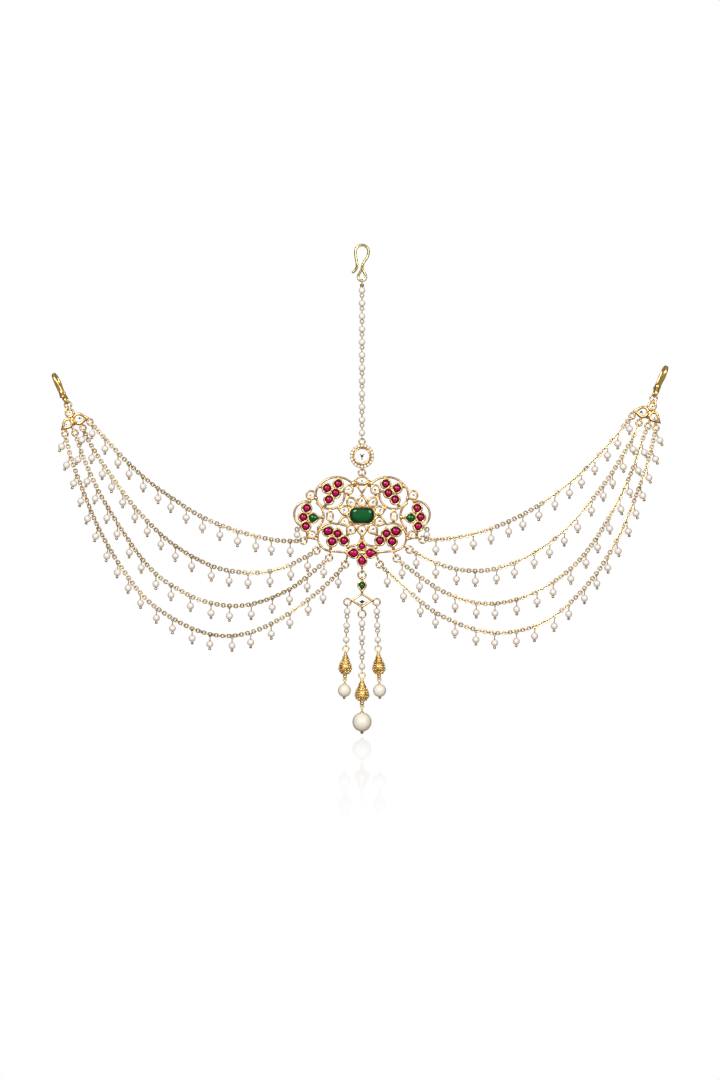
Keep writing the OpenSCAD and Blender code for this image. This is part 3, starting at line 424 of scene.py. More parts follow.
def outline(cut, a, b, grow=0.0, count=32):
    """Points round a cut that is grown evenly on all sides."""
    if cut == "pear":
        scale = (a + grow) / a
        touch = math.degrees(math.acos(a / b))
        return [(b * scale, 0)] + [turned(touch + (360 - 2 * touch) * i / (count - 2), a + grow)
                                   for i in range(count - 1)]
    if cut == "navette":
        r = (a * a + b * b) / (2 * a)
        reach = math.sqrt((r + grow) ** 2 - (r - a) ** 2)
        half = math.degrees(math.asin(reach / (r + grow)))
        side = [half * (1 - 4 * i / count) for i in range(count // 2)]
        return [(s * (r + grow) * math.sin(math.radians(q)),
                 s * ((r + grow) * math.cos(math.radians(q)) - (r - a))) for s in (1, -1) for q in side]
    if cut == "lozenge":
        k = 1 + grow * math.hypot(a, b) / (a * b)
        tips = [(b * k, 0), (0, a * k), (-b * k, 0), (0, -a * k), (b * k, 0)]
        edge = count // 4
        return [(x0 + (x1 - x0) * i / edge, y0 + (y1 - y0) * i / edge)
                for (x0, y0), (x1, y1) in zip(tips, tips[1:]) for i in range(edge)]
    if cut == "cushion":
        places = []
        for i in range(count):
            quarter, step = divmod(i, count // 4)
            x, y = turned(90 * quarter + 90 * step / (count // 4 - 1), CUSHION_CORNER + grow)
            places.append((x + (b - CUSHION_CORNER) * (1 if quarter in (0, 3) else -1),
                           y + (a - CUSHION_CORNER) * (1 if quarter in (0, 1) else -1)))
        return places
    return [(x + (b - a) * (1 if x > 0 else -1) * (abs(x) > 1e-6), y)
            for x, y in (turned(360 * (i + 0.5) / count, a + grow) for i in range(count))]


def tuck(cut, a, b):
    """How far a stone's edge lies under the lip of its cup."""
    if (cut, a) == ("pear", 1.95) and b > 3:
        return 0.32
    return {"round": 0.3 if a > 3 else 0.2, "lozenge": 0.1}.get(cut, 0.04)


def drawn(cut, a, b, grow=0.0, count=32, level=0.0):
    """A flat face with the outline of a cut, in edit mode and selected."""
    deselect()
    bpy.ops.mesh.primitive_circle_add(vertices=count, radius=1, fill_type="NGON")
    face = bpy.context.object
    for vertex, (x, y) in zip(face.data.vertices, outline(cut, a, b, grow, count)):
        vertex.co = (x, y, level)
    edit_all(face, faces=True)
    return face


def raise_face(height, shrink=1.0, about=(0, 0)):
    """Extrudes what is selected and shrinks its new end about a point."""
    bpy.ops.mesh.extrude_region_move(TRANSFORM_OT_translate={"value": (0, 0, height)})
    if shrink != 1.0:
        bpy.ops.transform.resize(value=(shrink, shrink, 1), center_override=(*about, 0))


def step_in(width, height):
    """Insets the selected face and lifts it."""
    bpy.ops.mesh.inset(thickness=width, depth=0)
    bpy.ops.transform.translate(value=(0, 0, height))


def bent_wire(thick, start, heading, moves, sides=8):
    """Round wire drawn in the XY plane. Moves are ("on", length) and ("turn", radius, angle, steps)."""
    deselect()
    bpy.ops.mesh.primitive_circle_add(vertices=sides, radius=thick / 2, fill_type="NOTHING",
                                      location=(start[0], start[1], 0),
                                      rotation=(0, math.radians(90), math.radians(heading)))
    piece = bpy.context.object
    bpy.ops.object.transform_apply(location=True, rotation=True, scale=True)
    edit_all(piece)
    x, y = start
    for move in moves:
        if move[0] == "on":
            dx, dy = turned(heading, move[1])
            bpy.ops.mesh.extrude_region_move(TRANSFORM_OT_translate={"value": (dx, dy, 0)})
            x, y = x + dx, y + dy
            continue
        radius, angle = move[1], move[2]
        side = 1 if angle > 0 else -1
        cx, cy = turned(heading + 90 * side, radius, x, y)
        steps = move[3] if len(move) > 3 else max(3, round(abs(angle) / (9 if radius > 4 else 15)))
        bpy.ops.mesh.spin(steps=steps, angle=-math.radians(angle), center=(cx, cy, 0), axis=(0, 0, 1))
        x, y = turned(heading - 90 * side + angle, radius, cx, cy)
        heading += angle
    close_up(merge=True)
    done()
    return smooth(piece, 60)


def ring(r, thick, sides=8, steps=24):
    """A closed ring, its radius at the middle of the wire."""
    return bent_wire(thick, (r, 0), 90, [("turn", r, 360, steps)], sides)


def jump_ring(r, thick=RING_WIRE):
    """A ring bent from wire, its two ends butted together."""
    r, gap = r + PLUMP / 2, math.degrees(RING_GAP / r)
    return bent_wire(thick + PLUMP, turned(gap, r), 90 + gap, [("turn", r, 360 - 2 * gap, 28)], 10)


def loop(r, thick=LOOP_WIRE, sides=8, steps=22):
    """A closed wire loop, soldered to what carries it."""
    return ring(r + PLUMP / 2, thick + PLUMP, sides, steps)


def rod(thick, start, end, sides=8):
    dx, dy = end[0] - start[0], end[1] - start[1]
    return bent_wire(thick, start, math.degrees(math.atan2(dy, dx)), [("on", math.hypot(dx, dy))], sides)


def front_rod(thick, start, end, sides=8):
    """A rod between two points of the front plane."""
    return set_at(rod(thick, start, end, sides), spot(0, 0))


def pearl(d, segments=20, rings=14, dimple=0.16):
    """A pearl with its drill holes dimpled in, top and bottom."""
    deselect()
    bpy.ops.mesh.primitive_uv_sphere_add(segments=segments, ring_count=rings, radius=d / 2)
    piece = bpy.context.object
    edit(piece)
    for end in (1, -1):
        pick(piece, lambda place: place.z * end > d * 0.499, "vertices")
        bpy.ops.transform.translate(value=(0, 0, -end * dimple))
    done()
    return smooth(piece, 180)


def bead(d, z=0.0, tall=1.0, segments=10, rings=7):
    """A small gold bead with a pinched collar."""
    deselect()
    bpy.ops.mesh.primitive_uv_sphere_add(segments=segments, ring_count=rings, radius=d / 2)
    piece = bpy.context.object
    edit_all(piece)
    bpy.ops.transform.resize(value=(1, 1, tall))
    pick(piece, lambda place: abs(place.z) > d * tall * 0.47, "vertices")
    bpy.ops.transform.resize(value=(1, 1, 0.94), center_override=(0, 0, 0))
    done()
    return smooth(set_at(piece, raised(z)), 180)


def turned_body(profile, sides=20):
    """A body of revolution about Z, from a list of (radius, height)."""
    deselect()
    bpy.ops.mesh.primitive_circle_add(vertices=sides, radius=profile[0][0], fill_type="NGON",
                                      location=(0, 0, profile[0][1]))
    piece = bpy.context.object
    bpy.ops.object.transform_apply(location=True, rotation=True, scale=True)
    edit_all(piece, faces=True)
    for (r0, z0), (r1, z1) in zip(profile, profile[1:]):
        raise_face(z1 - z0, r1 / r0)
    close_up()
    done()
    return smooth(piece, 40)


def marked(piece, a, b):
    """Gives a stone its own map: the distance from its middle towards its edge."""
    layer = piece.data.uv_layers.new(name="cut")
    for corner in piece.data.loops:
        place = piece.data.vertices[corner.vertex_index].co
        layer.data[corner.index].uv = (place.x / b, place.y / a)
    return piece


def domed_stone(cut, a, b, rise=0.85, edge=0.65, count=32):
    """A polished dome over the outline of a cut, its edge tucked under the cup's lip."""
    middle = ((b - a) * 0.3 if cut == "pear" else 0, 0)
    hidden = tuck(cut, a, b)
    piece = drawn(cut, a, b, -hidden, count, STONE_BASE)
    raise_face(edge - STONE_BASE)
    turns = [12, 27, 43, 60, 76]
    for before, after in zip([0] + turns, turns):
        low, high = math.radians(before), math.radians(after)
        raise_face(rise * (math.sin(high) - math.sin(low)), math.cos(high) / math.cos(low), middle)
    raise_face(rise * (1 - math.sin(math.radians(turns[-1]))) * 0.9, 0.4, middle)
    close_up()
    done()
    return smooth(marked(piece, a - hidden, b - hidden), 50)


def facet_tones_and_painted_star(piece, middle, reach, arms, arm_width):
    """A tint a facet: nearly white, and in the middle a small star of a few facets, a painted dark
    reflection.
    """
    tint = piece.data.color_attributes.new(name="facet", type="FLOAT_COLOR", domain="CORNER")
    for face in piece.data.polygons:
        x, y = face.center.x - middle[0], face.center.y - middle[1]
        value = random.uniform(0.93, 1.0) if random.random() < 0.85 else random.uniform(0.7, 0.85)
        # The star's facets get a painted dark reflection, nearly black; the rest of the table is nearly white
        if face.normal.z > 0.3 and math.hypot(x, y) < reach:
            way = math.degrees(math.atan2(y, x))
            off = min(abs((way - arm + 180) % 360 - 180) for arm in arms)
            value = 0.03 if off < arm_width or math.hypot(x, y) < 0.3 * reach else 0.98
        for corner in face.loop_indices:
            tint.data[corner].color = (value, value, value, 1)


def faceted_stone(cut, a, b, count=12, crown_rise=0.45, star=0.46, arms=None, hidden=None, low=0.0,
                  heart=0.4):
    """A flat uncut stone: girdle, two rings of facets, a table with a painted dark reflection in it, shaped
    as a star.

    The star's arms lie at the given angles, or wider ones at chance. Low moves it off the middle."""
    middle = ((b - a) * 0.35 if cut == "pear" else 0, low)
    piece = drawn(cut, a, b, -(tuck(cut, a, b) if hidden is None else hidden), count, STONE_BASE)
    raise_face(GIRDLE - STONE_BASE)
    raise_face(crown_rise * 0.62, 0.8, middle)
    raise_face(crown_rise * 0.3, 0.72, middle)
    raise_face(crown_rise * 0.08, star / (0.8 * 0.72), middle)
    raise_face(-0.03, heart, middle)
    close_up()
    done()
    start = random.uniform(0, 360)
    arm_width = 13 if arms else 22
    arms = arms or (start, start + random.uniform(90, 150), start + 40)
    facet_tones_and_painted_star(piece, middle, star * a * 0.9, arms, arm_width)
    return flat(marked(piece, a, b))


# A cup's lip: how far under the top its round edge begins, and the steps of that edge, each with its share
# of the width and how far it rises or falls
LIP_HEIGHT = 0.4
LIP_STEPS = ((0.1, 0.26), (0.14, 0.12), (0.26, 0.05), (0.26, -0.03), (0.14, -0.1), (0.1, -0.22))


def stone_cup(cut, a, b, wall=CUP_WALL, count=32, hidden=None):
    """A cup with a soft lip pressed in over the stone, and a sunk panel on its back."""
    grow = PLAY + wall
    piece = drawn(cut, a, b, grow, count, CUP_BACK)
    step_in(0.12, 0)
    done()
    edit_all(piece, faces=True)
    raise_face(CUP_TOP - CUP_BACK - LIP_HEIGHT)
    pick(piece, lambda centre, normal: centre.z > CUP_TOP - 0.5 and abs(normal.z) > 0.5)
    bpy.ops.mesh.dissolve_faces()
    lip = grow + (tuck(cut, a, b) if hidden is None else hidden) - 0.02
    edge = grow
    for share, height in LIP_STEPS:
        if cut == "lozenge":
            apart = math.hypot(a, b) / (a * b)
            raise_face(height, (1 + (edge - lip * share) * apart) / (1 + edge * apart))
            edge -= lip * share
        else:
            step_in(lip * share, height)
    raise_face(STONE_BASE - CUP_TOP + 0.25)
    close_up()
    pick(piece, lambda centre, normal: centre.z < CUP_BACK + 0.01 and normal.z < -0.5
         and math.hypot(centre.x, centre.y) < a)
    raise_face(0.14)
    done()
    return smooth(piece, 40)


def strut(x0, z0, x1, z1, width):
    """A short solder bridge between two parts, with rounded edges."""
    deselect()
    bpy.ops.mesh.primitive_cube_add(size=1)
    piece = bpy.context.object
    edit_all(piece)
    bpy.ops.transform.resize(value=(math.hypot(x1 - x0, z1 - z0), width, SOLDER_DEPTH))
    bpy.ops.mesh.bevel(offset=min(width, SOLDER_DEPTH) * 0.3, segments=2, affect="EDGES")
    done()
    way = math.degrees(math.atan2(z1 - z0, x1 - x0))
    set_at(piece, Matrix.Translation(((x0 + x1) / 2, (z0 + z1) / 2, 0)) @ rotated(way, "Z"))
    return smooth(piece, 50)


def stud(x, z, r):
    """A round solder stud with a low dome on its front."""
    piece = drawn("round", r, r, 0, 16, -SOLDER_DEPTH / 2)
    raise_face(SOLDER_DEPTH * 0.8)
    raise_face(SOLDER_DEPTH * 0.2, 0.86)
    raise_face(0.16, 0.72)
    raise_face(0.07, 0.5)
    close_up()
    done()
    set_at(piece, Matrix.Translation((x, z, 0)))
    return smooth(piece, 50)


# Finishes. Shared effects are groups with named inputs; the shaders stay in the materials.

def node_group(name, inputs, outputs):
    """A group with named inputs (name, kind, value) and outputs (name, kind)."""
    tree = bpy.data.node_groups.new(name, "ShaderNodeTree")
    for label, kind, value in inputs:
        tree.interface.new_socket(name=label, in_out="INPUT", socket_type=kind).default_value = value
    for label, kind in outputs:
        tree.interface.new_socket(name=label, in_out="OUTPUT", socket_type=kind)
    return tree, tree.nodes.new("NodeGroupInput").outputs, tree.nodes.new("NodeGroupOutput").inputs


FLOAT, COLOUR, VECTOR = "NodeSocketFloat", "NodeSocketColor", "NodeSocketVector"


def feed(tree, socket, value):
    """Links an output to the socket, or sets the socket to a value."""
    if isinstance(value, bpy.types.NodeSocket):
        tree.links.new(value, socket)
    else:
        socket.default_value = value


def feed_all(tree, node, settings):
    """Feeds sockets that are named by their label or number."""
    for label, value in settings.items():
        feed(tree, node.inputs[label], value)


def mix_colour(tree, factor, first, second):
    """Goes from one colour to another by a factor. Sockets 6 and 7 are the node's colours."""
    mix = tree.nodes.new("ShaderNodeMix")
    mix.data_type = "RGBA"
    feed_all(tree, mix, {0: factor, 6: first, 7: second})
    return mix.outputs[2]


def ranged(tree, value, low, high, to_low, to_high):
    """Carries a value softly from one range over to another."""
    span = tree.nodes.new("ShaderNodeMapRange")
    span.interpolation_type = "SMOOTHSTEP"
    feed_all(tree, span, {"Value": value, "From Min": low, "From Max": high,
                          "To Min": to_low, "To Max": to_high})
    return span.outputs["Result"]


def noise(tree, place, scale, detail):
    node = tree.nodes.new("ShaderNodeTexNoise")
    feed_all(tree, node, {"Vector": place, "Scale": scale, "Detail": detail})
    return node.outputs["Fac"]


def calculated(tree, operation, *values):
    node = tree.nodes.new("ShaderNodeMath")
    node.operation = operation
    feed_all(tree, node, dict(enumerate(values)))
    return node.outputs[0]


def worked_metal():
    """Worked gold: soft dents from the tool, tarnish in broad patches, fine file marks."""
    tree, given, out = node_group("worked_metal", [
        ("Place", VECTOR, (0, 0, 0)), ("Metal", COLOUR, (1, 1, 1, 1)), ("Tarnish", COLOUR, (0, 0, 0, 1)),
        ("Tarnish Amount", FLOAT, 0.4), ("Dent Scale", FLOAT, 900.0), ("Roughness", FLOAT, 0.25)],
        [("Colour", COLOUR), ("Roughness", FLOAT), ("Height", FLOAT)])
    patches = noise(tree, given["Place"], 420.0, 3.0)
    dents = noise(tree, given["Place"], given["Dent Scale"], 1.5)
    fine = noise(tree, given["Place"], 5200.0, 2.0)
    mask = ranged(tree, patches, 0.42, 0.68, 0.0, given["Tarnish Amount"])
    tree.links.new(mix_colour(tree, mask, given["Metal"], given["Tarnish"]), out["Colour"])
    tree.links.new(calculated(tree, "MULTIPLY_ADD", fine, 0.16, given["Roughness"]), out["Roughness"])
    tree.links.new(calculated(tree, "MULTIPLY_ADD", fine, 0.12, dents), out["Height"])
    return tree


def stone_painted_shading():
    """Colour of a foiled stone: painted light in the middle, painted shade darker towards its edge, faintly
    cloudy.
    """
    tree, given, out = node_group("stone_painted_shading", [
        ("Map", VECTOR, (0, 0, 0)), ("Place", VECTOR, (0, 0, 0)), ("Heart", COLOUR, (1, 0, 0, 1)),
        ("Rim", COLOUR, (0.1, 0, 0, 1)), ("Start", FLOAT, 0.35), ("End", FLOAT, 1.0),
        ("Cloud", FLOAT, 0.25)], [("Colour", COLOUR)])
    length = tree.nodes.new("ShaderNodeVectorMath")
    length.operation = "LENGTH"
    tree.links.new(given["Map"], length.inputs[0])
    mask = ranged(tree, length.outputs["Value"], given["Start"], given["End"], 0.0, 1.0)
    base = mix_colour(tree, mask, given["Heart"], given["Rim"])
    cloud = ranged(tree, noise(tree, given["Place"], 700.0, 3.0), 0.4, 0.7, 0.0, given["Cloud"])
    tree.links.new(mix_colour(tree, cloud, base, given["Rim"]), out["Colour"])
    return tree


METAL_GROUP, STONE_GROUP = worked_metal(), stone_painted_shading()
GEM_IOR = 1.6


def material(name):
    """A new material, its nodes, its shader and the place on the object that its patterns read."""
    made = bpy.data.materials.new(name)
    made.use_nodes = True
    tree = made.node_tree
    place = tree.nodes.new("ShaderNodeTexCoord").outputs["Object"]
    return made, tree, tree.nodes["Principled BSDF"], place


def bump(tree, height, strength, distance, shader):
    node = tree.nodes.new("ShaderNodeBump")
    feed_all(tree, node, {"Strength": strength, "Distance": distance, "Height": height})
    tree.links.new(node.outputs["Normal"], shader.inputs["Normal"])


def group_in(tree, group, settings):
    node = tree.nodes.new("ShaderNodeGroup")
    node.node_tree = group
    feed_all(tree, node, settings)
    return node.outputs


def gold(name, metal, tarnish, amount, roughness, dents=900.0, depth=0.25):
    made, tree, shader, place = material(name)
    work = group_in(tree, METAL_GROUP, {"Place": place, "Metal": metal, "Tarnish": tarnish,
                                        "Tarnish Amount": amount, "Dent Scale": dents,
                                        "Roughness": roughness})
    shader.inputs["Metallic"].default_value = 1.0
    tree.links.new(work["Colour"], shader.inputs["Base Color"])
    tree.links.new(work["Roughness"], shader.inputs["Roughness"])
    bump(tree, work["Height"], depth, 0.0003, shader)
    return made


def stone(name, heart, rim, start, end, cloud, roughness, gleam):
    made, tree, shader, place = material(name)
    cut = tree.nodes.new("ShaderNodeUVMap")
    cut.uv_map = "cut"
    # The stone's map paints light into its middle and shade towards its edge
    depth = group_in(tree, STONE_GROUP, {"Map": cut.outputs["UV"], "Place": place, "Heart": heart,
                                         "Rim": rim, "Start": start, "End": end, "Cloud": cloud})
    feed_all(tree, shader, {"Base Color": depth["Colour"], "Roughness": roughness, "IOR": GEM_IOR,
                            "Specular IOR Level": 0.6, "Specular Tint": gleam})
    bump(tree, noise(tree, place, 500.0, 1.0), 0.06, 0.0004, shader)
    return made


def clear_stone(name):
    made, tree, shader, place = material(name)
    facet = tree.nodes.new("ShaderNodeAttribute")
    facet.attribute_name = "facet"
    # Facets that the star marks take the near black of the painted reflection
    base = mix_colour(tree, facet.outputs["Fac"], (0.01, 0.011, 0.016, 1), (1, 1, 0.98, 1))
    cloud = ranged(tree, noise(tree, place, 900.0, 3.0), 0.5, 0.75, 0.0, 0.08)
    clouded = mix_colour(tree, cloud, base, (0.8, 0.77, 0.7, 1))
    # The emission is painted light: a faint glow of the facet colours, as if lit through the foiled stone
    feed_all(tree, shader, {"Base Color": clouded, "Emission Color": base, "Emission Strength": 0.06,
                            "Roughness": 0.05, "IOR": GEM_IOR, "Specular IOR Level": 0.5})
    bump(tree, noise(tree, place, 1400.0, 2.0), 0.02, 0.0002, shader)
    return made


def pearl_lustre(name, body, warm, edge):
    made, tree, shader, place = material(name)
    patches = ranged(tree, noise(tree, place, 260.0, 2.0), 0.35, 0.7, 0.0, 1.0)
    feed_all(tree, shader, {"Base Color": mix_colour(tree, patches, body, warm), "Roughness": 0.16,
                            "IOR": 1.8, "Coat Weight": 1.0, "Coat Roughness": 0.06, "Coat IOR": 1.004,
                            "Coat Tint": edge})
    bump(tree, noise(tree, place, 1200.0, 2.0), 0.05, 0.0002, shader)
    return made


# Metal, tarnish, how much of it, roughness, and the scale and depth of the dents
FRAME_GOLD = gold("frame_gold", (0.74, 0.47, 0.2, 1), (0.37, 0.2, 0.07, 1), 0.65, 0.15)
WIRE_GOLD = gold("wire_gold", (0.74, 0.51, 0.24, 1), (0.4, 0.25, 0.1, 1), 0.5, 0.12, 600.0, 0.2)
HOOK_GOLD = gold("hook_gold", (1.0, 0.64, 0.22, 1), (0.62, 0.34, 0.08, 1), 0.35, 0.16, 400.0, 0.12)
PALE_GOLD = gold("pale_gold", (0.98, 0.83, 0.36, 1), (0.5, 0.42, 0.12, 1), 0.3, 0.1, 400.0, 0.05)
CHAIN_GOLD = gold("chain_gold", (0.92, 0.67, 0.33, 1), (0.54, 0.37, 0.15, 1), 0.5, 0.19, 1200.0, 0.15)
PIN_GOLD = gold("pin_gold", (0.66, 0.48, 0.23, 1), (0.36, 0.25, 0.1, 1), 0.5, 0.18, 1200.0, 0.15)
GRANULE_GOLD = gold("granule_gold", (1.0, 0.8, 0.4, 1), (0.85, 0.56, 0.2, 1), 0.35, 0.3, 1500.0, 0.2)
DEEP_GOLD = gold("deep_gold", (0.5, 0.27, 0.06, 1), (0.22, 0.1, 0.02, 1), 0.7, 0.34, 1500.0, 0.3)
# The filigree body's gold, heavily tarnished as painted shade for the hollow inside the openwork; the dull
# grains use it too
SHADE_AND_DULL_GOLD = gold("shade_and_dull_gold", (0.78, 0.45, 0.12, 1), (0.24, 0.11, 0.02, 1), 0.85, 0.34, 1500.0, 0.3)
# Heart with its painted light, rim with its painted shade, where on the map the rim's colour begins and is
# full, cloudiness, roughness, tint of the gleam
RUBY = stone("ruby", (0.52, 0.002, 0.1, 1), (0.03, 0.001, 0.006, 1), 0.3, 0.95, 0.4, 0.11,
             (1, 0.28, 0.45, 1))
GREEN = stone("green_stone", (0.004, 0.088, 0.016, 1), (0.001, 0.018, 0.005, 1), 0.5, 1.05, 0.2, 0.1,
              (0.3, 0.8, 0.42, 1))
CLEAR = clear_stone("clear_stone")
# Two tones of the pearl's body, and the tint of its edge
PEARL = pearl_lustre("pearl", (1, 0.99, 0.97, 1), (1, 0.97, 0.93, 1), (0.92, 0.86, 0.81, 1))
CREAM_PEARL = pearl_lustre("cream_pearl", (1, 0.97, 0.9, 1), (1, 0.94, 0.85, 1), (0.95, 0.91, 0.84, 1))


# Hooks

def s_hook(levels):
    """The whole hook in the XY plane, its crown at the origin, as forged wire.

    Above each level it is a little deeper than below, or a little thinner where the level is over -10."""
    side = math.sqrt(HOOK_EYE_DROP ** 2 - HOOK_EYE_R ** 2)
    wire = bent_wire(HOOK_WIRE + 0.35, HOOK_TIP, 30,
                     [("turn", 4, 70), ("on", 3), ("turn", 18, -10, 3), ("turn", HOOK_BEND_R, -180),
                      ("turn", CURVE_R, -CURVE_SWEEP), ("turn", CURVE_R, CURVE_SWEEP)], 12)
    eye = bent_wire(HOOK_WIRE + 0.25, (0, NECK_Z), -60,
                    [("on", side), ("turn", HOOK_EYE_R, -240), ("on", side)], 12)
    tip = set_at(bead(1.45, segments=12, rings=8), Matrix.Translation((*HOOK_TIP, 0)))
    neck = turned_body([(0.5, -0.75), (0.74, -0.55), (0.8, -0.2), (0.8, 0.2), (0.72, 0.5), (0.52, 0.7)], 14)
    neck = set_at(neck, Matrix.Translation((0, NECK_Z, 0)) @ rotated(-90, "X"))
    hook = gathered([wire, eye, tip, neck])
    edit(hook)
    for level in levels:
        pick(hook, lambda place: place.y > level, "vertices")
        bpy.ops.transform.resize(value=(1, 1, 1.13 if level < -10 else 0.94), center_override=(0, 0, 0))
    done()
    return hook


def make_hooks():
    """The parting hook, and the side hooks, edge-on and leaning outwards, with their rings."""
    model = s_hook((-14.5, -13.7, -12.9, -12.1, -11.3, -10.5))
    fitted(joined("parting_hook_wire", [copy_at(model, spot(0, 0))], PALE_GOLD),
           "ornament", "gold_wire", "parting_hook")
    put_away(model)
    model = s_hook((-17.6, -17, -16.4, -15.8, -15.2, -14.6, -6, -5, -4, -3, -2))
    for side, word in SIDES:
        x, z = PLATE_AT[side][0] + side * HOOK_RING_OFF[0], PLATE_AT[side][1] + HOOK_RING_OFF[1]
        eye_hold = HOOK_RING_R - (RING_WIRE + SIDE_HOOK_SCALE * HOOK_WIRE) / 2 - PLAY
        place = (hung(x, z, side * SIDE_HOOK_LEAN[side]) @ raised(eye_hold - SIDE_HOOK_SCALE * HOOK_FOOT_Z)
                 @ rotated(-side * SIDE_HOOK_TURN, "Z") @ Matrix.Scale(SIDE_HOOK_SCALE, 4)
                 @ rotated(90, "X"))
        fitted(joined(word + "_hook_wire", [copy_at(model, place)], HOOK_GOLD),
               "ornament", "gold_wire", word + "_hook")
        fitted(joined(word + "_hook_jump_ring", [set_at(jump_ring(HOOK_RING_R), spot(x, z, 40))], WIRE_GOLD),
               "ornament", "gold_wire", word + "_hook_ring")
    put_away(model)


# Pearls on eye pins

def eye_pin(rise, top_r=SMALL_EYE, face_on=True):
    """Wire through a pearl at the origin: edge-on eye above, an eye below, and a wrap at each."""
    top = set_at(ring(top_r + 0.06, PIN_WIRE + 0.12, 6, 14), edge_on(0, rise))
    low_at = spot(0, -EYE_FALL) if face_on else edge_on(0, -EYE_FALL)
    low = set_at(ring(LARGE_EYE + 0.06, PIN_WIRE + 0.12, 6, 16), low_at)
    stem_top, stem_foot = rise - top_r, LARGE_EYE - EYE_FALL
    stem = front_rod(PIN_WIRE + 0.2, (0, stem_foot), (0, stem_top), 6)
    wraps = [set_at(ring(0.32, 0.22, 5, 8), raised(z)) for z in (stem_top - 0.15, stem_foot + 0.12)]
    return gathered([top, low, stem] + wraps)


def link_rise(pitch):
    """How far over its pearl a pin's eye lies, so that it hangs in the eye above with some play."""
    return pitch - EYE_FALL - LARGE_EYE + PIN_WIRE + PLAY - SMALL_EYE


def pearl_run(name, node, body, at, pitch, count, first_rise, first_eye, place=Matrix()):
    """Pearls hung one below the other, each pin's eye through the eye above."""
    model = pearl(PEARL_D + PLUMP, 18, 12)
    pearls, pins = [], []
    for i in range(count):
        here = place @ raised(at - i * pitch)
        turn = Matrix.Rotation(random.uniform(0, ROUND), 4, "Z")
        squeeze = Matrix.Diagonal((random.uniform(0.97, 1.02), 1, random.uniform(0.95, 1.02), 1))
        pearls.append(copy_at(model, here @ turn @ squeeze))
        pin = eye_pin(first_rise if i == 0 else link_rise(pitch), first_eye if i == 0 else SMALL_EYE,
                      i < count - 1)
        pins.append(set_at(pin, here))
    put_away(model)
    fitted(joined(name + "_pearls", pearls, PEARL), body, "pearl", node)
    fitted(joined(name + "_pins", pins, PIN_GOLD), body, "gold_wire")


def make_parting_chain():
    """Three turns of coil under the parting hook, then the pearls."""
    top_z = HOOK_FOOT_Z + (HOOK_WIRE + PIN_WIRE) / 2 + PLAY - PARTING_EYE
    coil = [set_at(ring(0.68, 0.62, 8, 14), raised(PARTING_Z + PEARL_D / 2 + rise))
            for rise in (0.4, 0.9, 1.4)]
    fitted(joined("parting_coil", coil, FRAME_GOLD), "ornament", "gold_wire")
    pearl_run("parting", "parting_pearls", "ornament", PARTING_Z, PARTING_PITCH, PARTING_PEARLS,
              top_z - PARTING_Z, PARTING_EYE)


# Connector

def halo_seat():
    """The shelf round the collet that the seed pearls sit on, its front edge bevelled."""
    seat = drawn("round", SEAT_R, SEAT_R, 0, 48, -0.55)
    raise_face(0.55)
    step_in(0.12, 0.08)
    close_up()
    done()
    return smooth(seat, 40)


def make_connector():
    """The frame, its ring of seed pearls, the stone, and the ring that carries the pendant."""
    centre = spot(0, CONNECTOR_Z)
    last_z = PARTING_Z - (PARTING_PEARLS - 1) * PARTING_PITCH
    top_z = last_z - EYE_FALL - LARGE_EYE + (PIN_WIRE + LOOP_WIRE) / 2 + PLAY - CONNECTOR_TOP_R
    collet = set_at(stone_cup("round", CONNECTOR_STONE_R, CONNECTOR_STONE_R, 0.4, 40), centre)
    seat = set_at(halo_seat(), centre)
    top = set_at(loop(CONNECTOR_TOP_R), spot(0, top_z))
    low = set_at(loop(*CROWN_LOOP, 8, 16), edge_on(0, CONNECTOR_Z - CONNECTOR_FALL))
    grains, seeds = [], []
    grain, seed = bead(0.5, segments=8, rings=5), pearl(SEED_D, 12, 8, 0.04)
    for i in range(SEED_COUNT):
        x, z = turned(360 * i / SEED_COUNT + 90, SEED_RING_R)
        seeds.append(copy_at(seed, spot(x, CONNECTOR_Z + z, 0, 0.35)))
        x, z = turned(360 * (i + 0.5) / SEED_COUNT + 90, GRAIN_RING_R)
        grains.append(copy_at(grain, spot(x, CONNECTOR_Z + z, 0, 0.1)))
    put_away(grain, seed)
    for part in [collet, top, low] + grains:
        worn(part, FRAME_GOLD)
    fitted(joined("connector_collet", [collet, worn(seat, DEEP_GOLD), top, low] + grains),
           "ornament", "gold", "connector_frame")
    fitted(joined("connector_seed_pearls", seeds, CREAM_PEARL), "ornament", "pearl")
    gem = faceted_stone("round", CONNECTOR_STONE_R, CONNECTOR_STONE_R, 16, 0.6, 0.5, (45, 135, 270))
    fitted(joined("connector_gem", [set_at(gem, centre)], CLEAR),
           "ornament", "clear_stone", "connector_stone")
    carrier = set_at(jump_ring(CONNECTOR_RING_R), spot(0, CONNECTOR_RING_Z, 30))
    fitted(joined("connector_jump_ring", [carrier], WIRE_GOLD), "ornament", "gold_wire", "connector_ring")


# Pendant

def mirrored(stones):
    return [(cut, -x, z, 180 - turn, a, b) for cut, x, z, turn, a, b in stones]


def both_sides(stones):
    return stones + mirrored(stones)


def on_side(stones, side):
    return stones if side == RIGHT else mirrored(stones)


def ring_places(side):
    """Where the chains of one side end on the pendant."""
    return [chain[0][-1] for chain in CHAINS[side]]


def rim_loop(anchor, hung_at, held_r, held_wire, r, thick):
    """A small edge-on loop on the rim that holds a hanging ring, and the peg it stands on."""
    dx, dz = anchor[0] - hung_at[0], anchor[1] - hung_at[1]
    far = math.hypot(dx, dz)
    dx, dz = dx / far, dz / far
    reach = held_r + r - (held_wire + thick) / 2 - PLAY
    x, z = hung_at[0] + dx * reach, hung_at[1] + dz * reach
    eye = set_at(loop(r, thick, 8, 18), edge_on(x, z, math.degrees(math.atan2(dz, dx))))
    return [eye, front_rod(RIM_PEG_WIRE, anchor, (x + dx * r, z + dz * r))]


